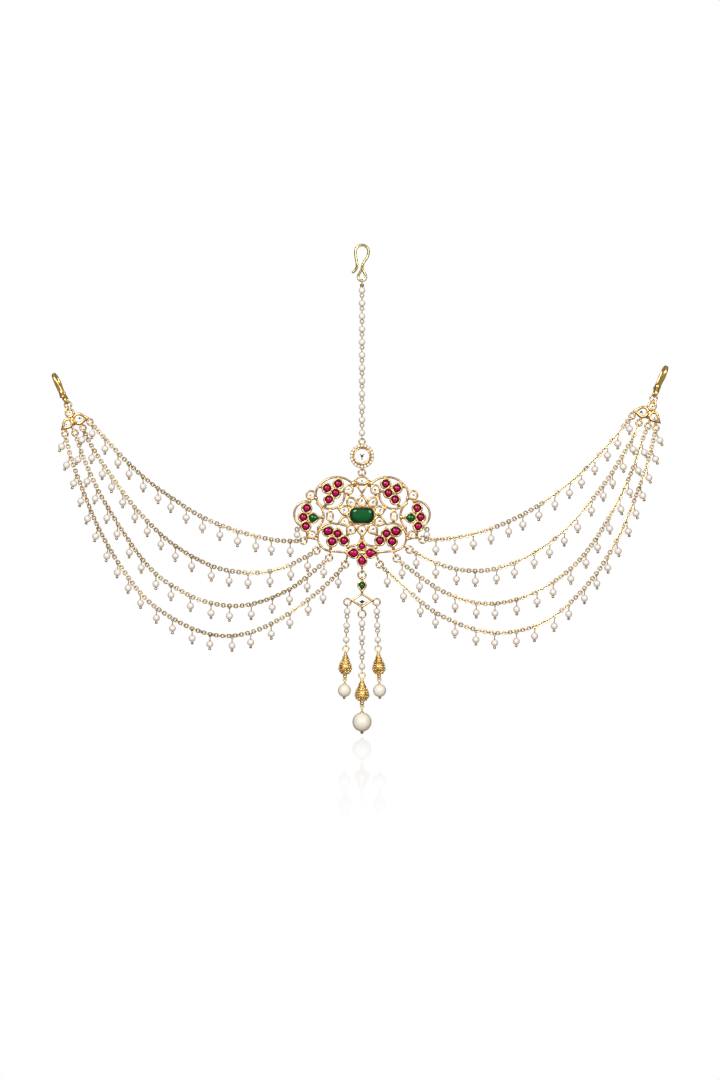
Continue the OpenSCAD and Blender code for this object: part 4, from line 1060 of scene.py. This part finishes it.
def pendant_cups():
    """A cup for every stone of the pendant. Each size is shaped once."""
    cups, models = [], {}
    stones = both_sides(UPPER_RUBIES + SIDE_RUBIES + LOWER_RUBIES + [GREEN_PEAR] + POLKI + PETALS[1:5])
    for cut, x, z, turn, a, b in stones + FLOWER_RUBIES + [CROWN, PETALS[0], PETALS[5]]:
        if (cut, a, b) not in models:
            models[cut, a, b] = stone_cup(cut, a, b)
        cups.append(copy_at(models[cut, a, b], spot(x, PENDANT_Z + z, turn)))
    cups.append(set_at(stone_cup("cushion", *CUSHION, CENTRE_WALL, 36, 0.02), spot(0, PENDANT_Z)))
    put_away(*models.values())
    return cups


def frame_side(side):
    """Wires, solder and rim loops of one side. What lies on the middle line comes with the right one."""
    centre = spot(0, PENDANT_Z)
    parts = []
    for x, z, r, start, sweep in FRAME_ARCS:
        wire = bent_wire(FRAME_WIRE + PLUMP, turned(start, r, x, z), start + 90, [("turn", r, sweep)], 10)
        parts.append(copy_at(wire, centre @ Matrix.Diagonal((side, 1, 1, 1))))
        put_away(wire)
    for x0, z0, x1, z1 in FRAME_TIES:
        parts.append(set_at(rod(FRAME_WIRE + PLUMP, (side * x0, z0), (side * x1, z1), 10), centre))
    for x0, z0, x1, z1, width in FRAME_BARS:
        if side == RIGHT or x0 or x1:
            parts.append(set_at(strut(side * x0, z0, side * x1, z1, width + PLUMP), centre))
    for x, z, r in FRAME_KNOBS + GUSSETS:
        if side == RIGHT or x:
            parts.append(set_at(stud(side * x, z, r + PLUMP / 2), centre))
    for x, z in WIRE_ENDS:
        end = bead(FRAME_WIRE + PLUMP + 0.12, segments=12, rings=8)
        parts.append(set_at(end, spot(side * x, PENDANT_Z + z)))
    for (x, z), hung_at in zip(RIM_ANCHORS, ring_places(side)):
        parts += rim_loop((side * x, PENDANT_Z + z), hung_at, RING_R, RING_WIRE, *RIM_LOOP)
    (x, z), (eye_x, eye_z) = SIDE_PEARL_ANCHOR, SIDE_PEARL_EYE
    parts += rim_loop((side * x, PENDANT_Z + z), (side * eye_x, PENDANT_Z + eye_z), LARGE_EYE, PIN_WIRE,
                      *SIDE_PEARL_LOOP)
    return parts


def make_pendant_frame():
    parts = pendant_cups() + frame_side(RIGHT) + frame_side(LEFT)
    foot_r, foot_wire = FOOT_LOOP
    foot_z = DROP_RING_Z + DROP_RING_R - (RING_WIRE + foot_wire) / 2 - PLAY + foot_r
    parts.append(set_at(loop(*CROWN_LOOP, 8, 16), edge_on(0, CROWN_LOOP_Z)))
    parts.append(set_at(loop(*FOOT_LOOP, 8, 18), edge_on(0, foot_z)))
    parts.append(front_rod(1, (0, foot_z + foot_r), (0, FOOT_PEG_Z)))
    fitted(joined("pendant_frame_work", parts, FRAME_GOLD), "ornament", "gold", "pendant_frame")


def stone_set(name, node, stones, finish, slot, at=(0, PENDANT_Z), body="ornament", shape=domed_stone):
    """The stones of one node, each set to the place and turn of its cup."""
    gems = [set_at(shape(cut, a, b), spot(at[0] + x, at[1] + z, turn)) for cut, x, z, turn, a, b in stones]
    fitted(joined(name, gems, finish), body, slot, node)


def cushion_stone():
    """The large green stone: a soft dome over a rounded oblong."""
    rim_level = 1.3
    gem = drawn("cushion", *CUSHION, 0, 36, STONE_BASE)
    raise_face(rim_level - STONE_BASE)
    for rise, shrink in ((0.42, 0.965), (0.36, 0.93), (0.26, 0.88), (0.16, 0.78), (0.07, 0.6), (0.02, 0.3)):
        raise_face(rise, shrink)
    close_up()
    done()
    return smooth(marked(gem, *CUSHION), 60)


def make_chain_rings(side, word):
    """One side's rings, drawn in but still hung in the rim's loops."""
    rings = []
    for (x, z), (rim_x, rim_z) in zip(ring_places(side), RIM_ANCHORS):
        dx, dz = side * rim_x - x, PENDANT_Z + rim_z - z
        up = RING_CLOSE / math.hypot(dx, dz)
        rings.append(set_at(jump_ring(RING_R - RING_CLOSE), spot(x + up * dx, z + up * dz, 90)))
    fitted(joined("chain_rings_" + word, rings, WIRE_GOLD), "ornament", "gold_wire",
           "pendant_rings_" + word)


def make_shoulder_pearls():
    """A pearl on a head pin at each shoulder, leaning forward to clear the frame."""
    pearls, pins = [], []
    foot = -SHOULDER_DROP - SHOULDER_PEARL_D / 2
    for side in (LEFT, RIGHT):
        x, z = side * SIDE_PEARL_EYE[0], PENDANT_Z + SIDE_PEARL_EYE[1]
        place = hung(x, z - LARGE_EYE, 0, -SHOULDER_LEAN)
        pearls.append(set_at(pearl(SHOULDER_PEARL_D), place @ raised(-SHOULDER_DROP)))
        pins.append(set_at(loop(LARGE_EYE, PIN_WIRE, 6, 16), spot(x, z)))
        pins.append(set_at(front_rod(0.5, (0, 0.05), (0, foot - 0.05), 6), place))
        pins.append(set_at(bead(0.9), place @ raised(foot - 0.1)))
    fitted(joined("shoulder_pearls", pearls, PEARL), "ornament", "pearl", "side_pearls")
    fitted(joined("shoulder_pearl_pins", pins, PIN_GOLD), "ornament", "gold_wire")


def make_pendant_stones():
    gem = set_at(cushion_stone(), spot(0, PENDANT_Z))
    fitted(joined("centre_cushion", [gem], GREEN), "ornament", "green_stone", "centre_stone")
    stone_set("crown_gem", "crown_stone", [CROWN], CLEAR, "clear_stone", shape=faceted_stone)
    stone_set("petal_gems", "petal_stones", [PETALS[0], PETALS[5]] + both_sides(PETALS[1:5]), CLEAR,
              "clear_stone", shape=faceted_stone)
    stone_set("green_pear_gems", "green_pears", both_sides([GREEN_PEAR]), GREEN, "green_stone")
    for side, word in SIDES:
        stone_set("upper_rubies_" + word, "rubies_upper_" + word, on_side(UPPER_RUBIES, side), RUBY, "ruby")
        stone_set("side_rubies_" + word, "rubies_" + word, on_side(SIDE_RUBIES, side), RUBY, "ruby")
        stone_set("lower_rubies_" + word, "rubies_lower_" + word, on_side(LOWER_RUBIES, side), RUBY, "ruby")
        stone_set("flat_stones_" + word, "polki_" + word, on_side(POLKI, side), CLEAR, "clear_stone",
                  shape=faceted_stone)
        make_chain_rings(side, word)
    stone_set("flower_rubies", "rubies_flower", FLOWER_RUBIES, RUBY, "ruby")
    make_shoulder_pearls()


# Side chains

def smooth_route(points, fine=10):
    """Places along a smooth curve through the route's points, with the length run so far."""
    padded = [points[0]] + points + [points[-1]]
    places = [points[0]]
    for p0, p1, p2, p3 in zip(padded, padded[1:], padded[2:], padded[3:]):
        for i in range(1, fine + 1):
            t = i / fine
            places.append(tuple(0.5 * (2 * b + (c - a) * t + (2 * a - 5 * b + 4 * c - d) * t ** 2
                                       + (3 * b - a - 3 * c + d) * t ** 3)
                                for a, b, c, d in zip(p0, p1, p2, p3)))
    run = [0.0]
    for a, b in zip(places, places[1:]):
        run.append(run[-1] + math.dist(a, b))
    return places, run


def along(path, s):
    """Place and heading at a length along the path."""
    places, run = path
    i = 0
    while i < len(run) - 2 and run[i + 1] < s:
        i += 1
    (x0, z0), (x1, z1) = places[i], places[i + 1]
    share = (s - run[i]) / (run[i + 1] - run[i])
    return x0 + (x1 - x0) * share, z0 + (z1 - z0) * share, math.degrees(math.atan2(z1 - z0, x1 - x0))


def link_model():
    """One oval link of the cable chain."""
    link = ring(LINK_R, LINK_WIRE, 6, 14)
    edit_all(link)
    bpy.ops.transform.resize(value=(LINK_STRETCH, 1, 1))
    done()
    return link


def hanging_model():
    """A pearl's pin with its eye over a link, as it hangs, and the beads over and under the pearl."""
    eye_r, eye_foot, pin_foot = 0.5, -1.35, -7.4
    eye = set_at(ring(eye_r, 0.42, 4, 8), spot(0, eye_foot + eye_r))
    pin = front_rod(0.5, (0, eye_foot), (0, pin_foot), 5)
    neck = bead(0.9, -3.2, 0.7, 7, 4)
    tip = bead(1.5, pin_foot + 0.05, 0.95, 8, 6)
    return gathered([eye, pin, neck, tip])


def make_side_chain(side, word, chain, models):
    """One chain with its hanging pearls, every link through its neighbours."""
    route, count, first, last, bow, forward = chain
    path = smooth_route(route)
    length = path[1][-1]
    link, drop, pin = models
    start = PLATE_LOOP_R - LOOP_CLOSE - (LOOP_WIRE + LINK_WIRE) / 2 + LINK_HALF
    end = length - (RING_R - 2 * RING_CLOSE - (RING_WIRE + LINK_WIRE) / 2 + LINK_HALF)
    spans = 2 * round((end - start) / LINK_PITCH / 2)
    places = [along(path, start + (end - start) * k / spans) for k in range(spans + 1)]
    links = []
    sway = random.uniform(0, ROUND)
    for k, (x, z, way) in enumerate(places):
        roll = 10 + 14 * math.sin(sway + k / 9) + random.uniform(-7, 7)
        links.append(copy_at(link, (edge_on if k % 2 == 0 else spot)(x, z, way) @ rotated(roll, "X")))
    fitted(joined("links_" + word, links, CHAIN_GOLD), "ornament", "gold_chain", "chain_" + word)
    # The pearls' places count along the straight pieces of the route, and go over to the smooth path
    straight = sum(math.dist(a, b) for a, b in zip(route, route[1:]))
    far = straight - last
    pearls, pins = [], []
    for k in range(count):
        t = k / (count - 1)
        s = (first + (far - first) * (t + bow * t * (1 - t))) * length / straight
        aim = along(path, s)[:2]
        x, z, way = min(places, key=lambda place: math.dist(place[:2], aim))
        steep = math.degrees(math.atan2(abs(math.cos(math.radians(way))), -math.sin(math.radians(way))))
        lean = -side * max(0, CLEAR_ANGLE - steep)
        place = hung(x, z, lean + random.uniform(-1.5, 1.5), -FORWARD_LEAN if k < forward else 0)
        below = raised(-HANG_LENGTH) @ Matrix.Diagonal(
            (random.uniform(0.96, 1.02), 1, random.uniform(0.94, 1.03), 1))
        pearls.append(copy_at(drop, place @ below @ Matrix.Rotation(random.uniform(0, ROUND), 4, "Z")))
        pins.append(copy_at(pin, place))
    fitted(joined("hanging_pearls_" + word, pearls, PEARL), "ornament", "pearl", "pearls_" + word)
    fitted(joined("hanging_pins_" + word, pins, PIN_GOLD), "ornament", "gold_wire")


def make_side_chains():
    models = link_model(), pearl(HANG_PEARL_D, 16, 11), hanging_model()
    for side, word in SIDES:
        for i, chain in enumerate(CHAINS[side]):
            make_side_chain(side, word + "_" + str(i + 1), chain, models)
    put_away(*models)


# Side plates

def plate_lip(a):
    """How far a plate cup's lip reaches over its stone."""
    return 0.5 if a > 2 else 0.4 if a > 1.6 else 0.25


def make_plates():
    """Two plates: cups, solder, the hook ring's loop, and a loop on a peg for each chain."""
    for side, word in SIDES:
        at = PLATE_AT[side]
        stones = on_side(PLATE_STONES, side)
        parts = []
        for cut, x, z, turn, a, b in stones:
            cup = stone_cup(cut, a, b, PLATE_WALL, hidden=plate_lip(a))
            parts.append(set_at(cup, spot(at[0] + x, at[1] + z, turn)))
        parts += [set_at(stud(side * x, z, r), spot(*at)) for x, z, r in PLATE_STUDS]
        for cut, x, z, turn, a, b in stones:
            parts.append(set_at(strut(side * PLATE_JOINT[0], PLATE_JOINT[1], x, z, 2), spot(*at)))
        top_z = at[1] + HOOK_RING_OFF[1] - HOOK_RING_R + (RING_WIRE + LOOP_WIRE) / 2 + PLAY - PLATE_TOP_R
        parts.append(set_at(loop(PLATE_TOP_R), edge_on(at[0] + side * HOOK_RING_OFF[0], top_z)))
        for chain, (peg_x, peg_z) in zip(CHAINS[side], PLATE_PEGS):
            x, z = chain[0][0]
            peg_at = (at[0] + side * peg_x, at[1] + peg_z)
            share = PLATE_LOOP_R / math.dist(peg_at, (x, z))
            rim = (x + (peg_at[0] - x) * share, z + (peg_at[1] - z) * share)
            parts.append(set_at(loop(PLATE_LOOP_R - LOOP_CLOSE, LOOP_WIRE + 0.15), spot(x, z)))
            parts.append(front_rod(PLATE_PEG_WIRE, peg_at, rim))
        fitted(joined(word + "_plate_work", parts, FRAME_GOLD), "ornament", "gold", word + "_plate")
        stone_set(word + "_plate_gems", word + "_plate_stones", stones, CLEAR, "clear_stone", at,
                  shape=lambda cut, a, b: faceted_stone(cut, a, b, hidden=plate_lip(a) - 0.05))


# Main drop

def make_drop_frame():
    """The ring, then the frame with its two cups, loops, rods and grains, and its two stones."""
    fitted(joined("drop_jump_ring", [set_at(jump_ring(DROP_RING_R), spot(0, DROP_RING_Z, 90))], WIRE_GOLD),
           "ring", "gold_wire", "drop_ring")
    top_z = DROP_RING_Z - DROP_RING_R + (RING_WIRE + LOOP_WIRE) / 2 + PLAY - DROP_TOP_R
    pear_z, leaf_z = DROP_PEAR[2], DROP_LEAF[2]
    centre_z, centre_r = CENTRE_LOOP
    side_x, side_z, side_r = SIDE_LOOP
    parts = [set_at(stone_cup(cut, a, b, DROP_WALL), spot(x, z, turn))
             for cut, x, z, turn, a, b in (DROP_PEAR, DROP_LEAF)]
    parts.append(set_at(loop(DROP_TOP_R, LOOP_WIRE, 8, 16), edge_on(0, top_z)))
    parts.append(set_at(loop(centre_r), spot(0, centre_z)))
    rods = [(0.8, (0, top_z - DROP_TOP_R), (0, pear_z + 1.4)), (1.1, (0, pear_z - 2.6), (0, leaf_z + 3)),
            (1.1, (0, centre_z + centre_r), (0, leaf_z - 3.1))]
    for side in (LEFT, RIGHT):
        parts.append(set_at(loop(side_r), spot(side * side_x, side_z)))
        rods.append((1, (side * 4.9, leaf_z), (side * (side_x - side_r + 0.1), side_z + 0.3)))
    parts += [front_rod(*each) for each in rods]
    parts += [set_at(bead(0.9), spot(0, z)) for z in (pear_z - 3.5, leaf_z - 3.5)]
    fitted(joined("drop_frame_work", parts, FRAME_GOLD), "drop", "gold", "drop_frame")
    stone_set("drop_pear_gem", "drop_pear", [DROP_PEAR], GREEN, "green_stone", (0, 0), "drop",
              lambda cut, a, b: domed_stone(cut, a, b, 0.9))
    stone_set("drop_leaf_gem", "drop_navette", [DROP_LEAF], CLEAR, "clear_stone", (0, 0), "drop",
              lambda cut, a, b: faceted_stone(cut, a, b, 16, 0.7, 0.5, (44, 64, 82, 98, 116, 136),
                                              low=-1.6, heart=0.12))


def filigree_radius(share):
    """The profile's radius, as a share, at a share of its length."""
    for (r0, z0), (r1, z1) in zip(FILIGREE_PROFILE, FILIGREE_PROFILE[1:]):
        if z0 <= share <= z1:
            return r0 + (r1 - r0) * (share - z0) / (z1 - z0)
    return FILIGREE_PROFILE[-1][0]


def filigree_drop(width):
    """A hollow-looking drop: a body in dark gold as painted shade of its hollow, rows of wire rings, granules
    and twisted bands.
    """
    half = width / 2 - 0.2
    body = turned_body([(r * half, -z * FILIGREE_LENGTH) for r, z in FILIGREE_PROFILE], 24)
    # The body is painted shade: dark gold for the hollow seen between the rings
    parts = [worn(body, SHADE_AND_DULL_GOLD)]
    eye = worn(ring(0.5, 0.3, 5, 9), GRANULE_GOLD)
    grain = worn(bead(0.92, segments=7, rings=5), GRANULE_GOLD)
    dull = worn(bead(0.75, segments=7, rings=5), SHADE_AND_DULL_GOLD)
    for row, share in enumerate((0.22, 0.31, 0.4, 0.49, 0.58, 0.67, 0.755, 0.82)):
        r = filigree_radius(share) * half + 0.05
        growth = filigree_radius(share + 0.02) - filigree_radius(share - 0.02)
        slope = growth * half / (0.04 * FILIGREE_LENGTH)
        count = max(4, round(2 * math.pi * r / 1.6))
        for k in range(count):
            turn = 2 * math.pi * (k + 0.5 * (row % 2)) / count
            out = Vector((math.cos(turn), math.sin(turn), slope)).normalized()
            place = (Matrix.Translation((r * math.cos(turn), r * math.sin(turn), -share * FILIGREE_LENGTH))
                     @ out.to_track_quat("Z", "Y").to_matrix().to_4x4())
            if random.random() < 0.6:
                parts.append(copy_at(eye, place))
            between = Matrix.Rotation(math.pi / count, 4, "Z") @ place
            parts.append(copy_at(random.choice((grain, grain, dull)), between))
    for share, thick in ((0.06, 0.4), (0.14, 0.38), (0.88, 0.4), (0.95, 0.4)):
        r = filigree_radius(share) * half + 0.04
        parts.append(worn(set_at(twisted_ring(r, thick), raised(-share * FILIGREE_LENGTH)), GRANULE_GOLD))
    high = set_at(loop(FILIGREE_LOOP), spot(0, FILIGREE_LOOP))
    low = set_at(loop(FILIGREE_EYE, PIN_WIRE, 6, 14), spot(0, -FILIGREE_LENGTH - FILIGREE_EYE))
    parts += [worn(high, GRANULE_GOLD), worn(low, GRANULE_GOLD)]
    put_away(eye, grain, dull)
    return gathered(parts)


def twisted_ring(r, thick):
    """A ring of twisted wire: its section steps in and out along the turn."""
    count = max(12, 4 * round(r * 4))
    band = ring(r, thick, 6, count)
    edit(band)
    step = 360 / count
    pick(band, lambda place: round(math.degrees(math.atan2(place.y, place.x)) / step) % 2 == 0, "vertices")
    bpy.ops.transform.shrink_fatten(value=0.07)
    done()
    return band


def end_pearl(d, fall, cap_d):
    """A large pearl, its top eye at the origin, with a cap above and a bead below."""
    ball = worn(set_at(pearl(d, 28, 20, 0.12), raised(-fall)), CREAM_PEARL)
    top = d / 2 - fall
    cap = turned_body([(cap_d * 0.62, top - 0.22), (cap_d * 0.66, top - 0.05), (cap_d * 0.5, top + 0.16),
                       (cap_d * 0.36, top + 0.34), (cap_d * 0.3, top + 0.5)], 16)
    eye = set_at(loop(SMALL_EYE, PIN_WIRE, 6, 14), edge_on(0, 0))
    pin = front_rod(0.8, (0, -SMALL_EYE), (0, top))
    tip = bead(1.7 if d > 8 else 1.4, -fall - d / 2 - 0.4, 0.95, 12, 8)
    metal = [worn(part, GRANULE_GOLD) for part in (cap, eye, pin)]
    return ball, gathered(metal + [worn(tip, DEEP_GOLD)])


def make_strings():
    """The strings, each with its filigree drop and its large pearl below."""
    first = (LOOP_WIRE + PIN_WIRE) / 2 + PLAY - SMALL_EYE - FIRST_RISE
    for word, count, pitch, (x, z, lean), width, end_d, fall, cap_d in STRINGS:
        place = hung(x, z, lean)
        pearl_run("string_" + word, "string_" + word, "drop", first, pitch, count, FIRST_RISE, SMALL_EYE,
                  place)
        below = first - (count - 1) * pitch - EYE_FALL - LARGE_EYE
        top = below + (PIN_WIRE + LOOP_WIRE) / 2 + PLAY - 2 * FILIGREE_LOOP
        body = set_at(filigree_drop(width), place @ raised(top))
        fitted(joined("filigree_work_" + word, [body]), "drop", "gold_granules", "filigree_" + word)
        eye_z = top - FILIGREE_LENGTH - 2 * FILIGREE_EYE + PIN_WIRE + PLAY - SMALL_EYE
        ball, metal = [set_at(part, place @ raised(eye_z)) for part in end_pearl(end_d, fall, cap_d)]
        fitted(joined("large_pearl_" + word, [ball]), "drop", "pearl", "end_pearl_" + word)
        fitted(joined("large_pearl_cap_" + word, [metal]), "drop", "gold_granules")


make_hooks()
make_parting_chain()
make_connector()
make_pendant_frame()
make_pendant_stones()
make_side_chains()
make_plates()
make_drop_frame()
make_strings()


# Floor, light and camera

# In metres, as all that follows
FLOOR_Z = -0.2448
FLOOR_WIDTH = 12


def mixed_shader(tree, share, first, second):
    mix = tree.nodes.new("ShaderNodeMixShader")
    feed_all(tree, mix, {0: share, 1: first.outputs[0], 2: second.outputs[0]})
    return mix


def for_the_eye(tree, mirrored_one, shown):
    """Shows one shader to the camera, while reflections see the other one."""
    path = tree.nodes.new("ShaderNodeLightPath")
    return mixed_shader(tree, path.outputs["Is Camera Ray"], mirrored_one, shown)


def make_floor():
    """A plain white floor with a faint polish near the ornament, which fades forwards."""
    deselect()
    bpy.ops.mesh.primitive_plane_add(size=1, location=(0, 0, FLOOR_Z))
    floor = bpy.context.object
    floor.name = "floor"
    edit_all(floor)
    bpy.ops.transform.resize(value=(FLOOR_WIDTH, FLOOR_WIDTH, 1), center_override=(0, 0, FLOOR_Z))
    done()
    bpy.ops.object.transform_apply(location=True, rotation=True, scale=True)
    made, tree, shader, place = material("white_floor")
    tree.nodes.remove(shader)
    glow, dim = tree.nodes.new("ShaderNodeEmission"), tree.nodes.new("ShaderNodeEmission")
    dim.inputs["Strength"].default_value = 0.3
    polish = tree.nodes.new("ShaderNodeBsdfGlossy")
    feed_all(tree, polish, {"Roughness": 0.02, "Color": (1, 1, 1, 1)})
    split = tree.nodes.new("ShaderNodeSeparateXYZ")
    tree.links.new(place, split.inputs[0])
    share = ranged(tree, split.outputs["Y"], -0.75, 0.0, 0.0, 0.16)
    shown = mixed_shader(tree, share, glow, polish)
    tree.links.new(for_the_eye(tree, dim, shown).outputs[0], tree.nodes["Material Output"].inputs["Surface"])
    floor.data.materials.append(made)


def make_world():
    """White to the eye. What the metal mirrors is a bright ring of light in front, dark sides and back."""
    world = bpy.data.worlds.new("studio")
    bpy.context.scene.world = world
    world.use_nodes = True
    tree = world.node_tree
    place, split = tree.nodes.new("ShaderNodeTexCoord"), tree.nodes.new("ShaderNodeSeparateXYZ")
    tree.links.new(place.outputs["Generated"], split.inputs[0])
    y, z = split.outputs["Y"], split.outputs["Z"]
    # Each shade adds light along an axis: the range it runs over, and its light at both ends
    shades = [(y, 0.3, -0.2, 0.04, 0.1), (y, -0.6, -0.9, 0.0, 0.78), (y, -0.97, -0.99, 0.0, -0.3),
              (z, 0.4, 0.85, 0.0, 0.3), (y, 0.965, 0.985, 0.0, 1.0)]
    level = ranged(tree, *shades[0])
    for shade in shades[1:]:
        level = calculated(tree, "ADD", level, ranged(tree, *shade))
    room, white = tree.nodes["Background"], tree.nodes.new("ShaderNodeBackground")
    tree.links.new(level, room.inputs["Color"])
    white.inputs["Color"].default_value = (1, 1, 1, 1)
    tree.links.new(for_the_eye(tree, room, white).outputs[0], tree.nodes["World Output"].inputs["Surface"])


def soft_light(name, at, towards, width, power):
    """A square lamp."""
    lamp = bpy.data.lights.new(name, "AREA")
    lamp.shape = "RECTANGLE"
    lamp.size = lamp.size_y = width
    lamp.energy = power
    holder = bpy.data.objects.new(name, lamp)
    bpy.context.scene.collection.objects.link(holder)
    holder.location = at
    holder.rotation_euler = (Vector(towards) - Vector(at)).to_track_quat("-Z", "Y").to_euler()


def make_camera():
    """Straight on, 540 mm of height at the ornament's plane."""
    height, far, sensor = 0.54, 2.0, 36
    eye = bpy.data.cameras.new("camera")
    eye.sensor_width = sensor
    eye.lens = sensor * far / height
    holder = bpy.data.objects.new("camera", eye)
    bpy.context.scene.collection.objects.link(holder)
    holder.location = (-0.001, -far, -0.147)
    holder.rotation_euler = (math.radians(90), 0, 0)
    bpy.context.scene.camera = holder


make_floor()
make_world()
soft_light("key", (-0.5, -1.4, 0.55), (0, 0, -0.12), 0.6, 14.5)
soft_light("fill", (0.65, -1.35, 0.3), (0, 0, -0.12), 0.5, 7.8)
make_camera()
bpy.context.scene.view_settings.view_transform = "Standard"
bpy.context.scene.view_settings.look = "None"
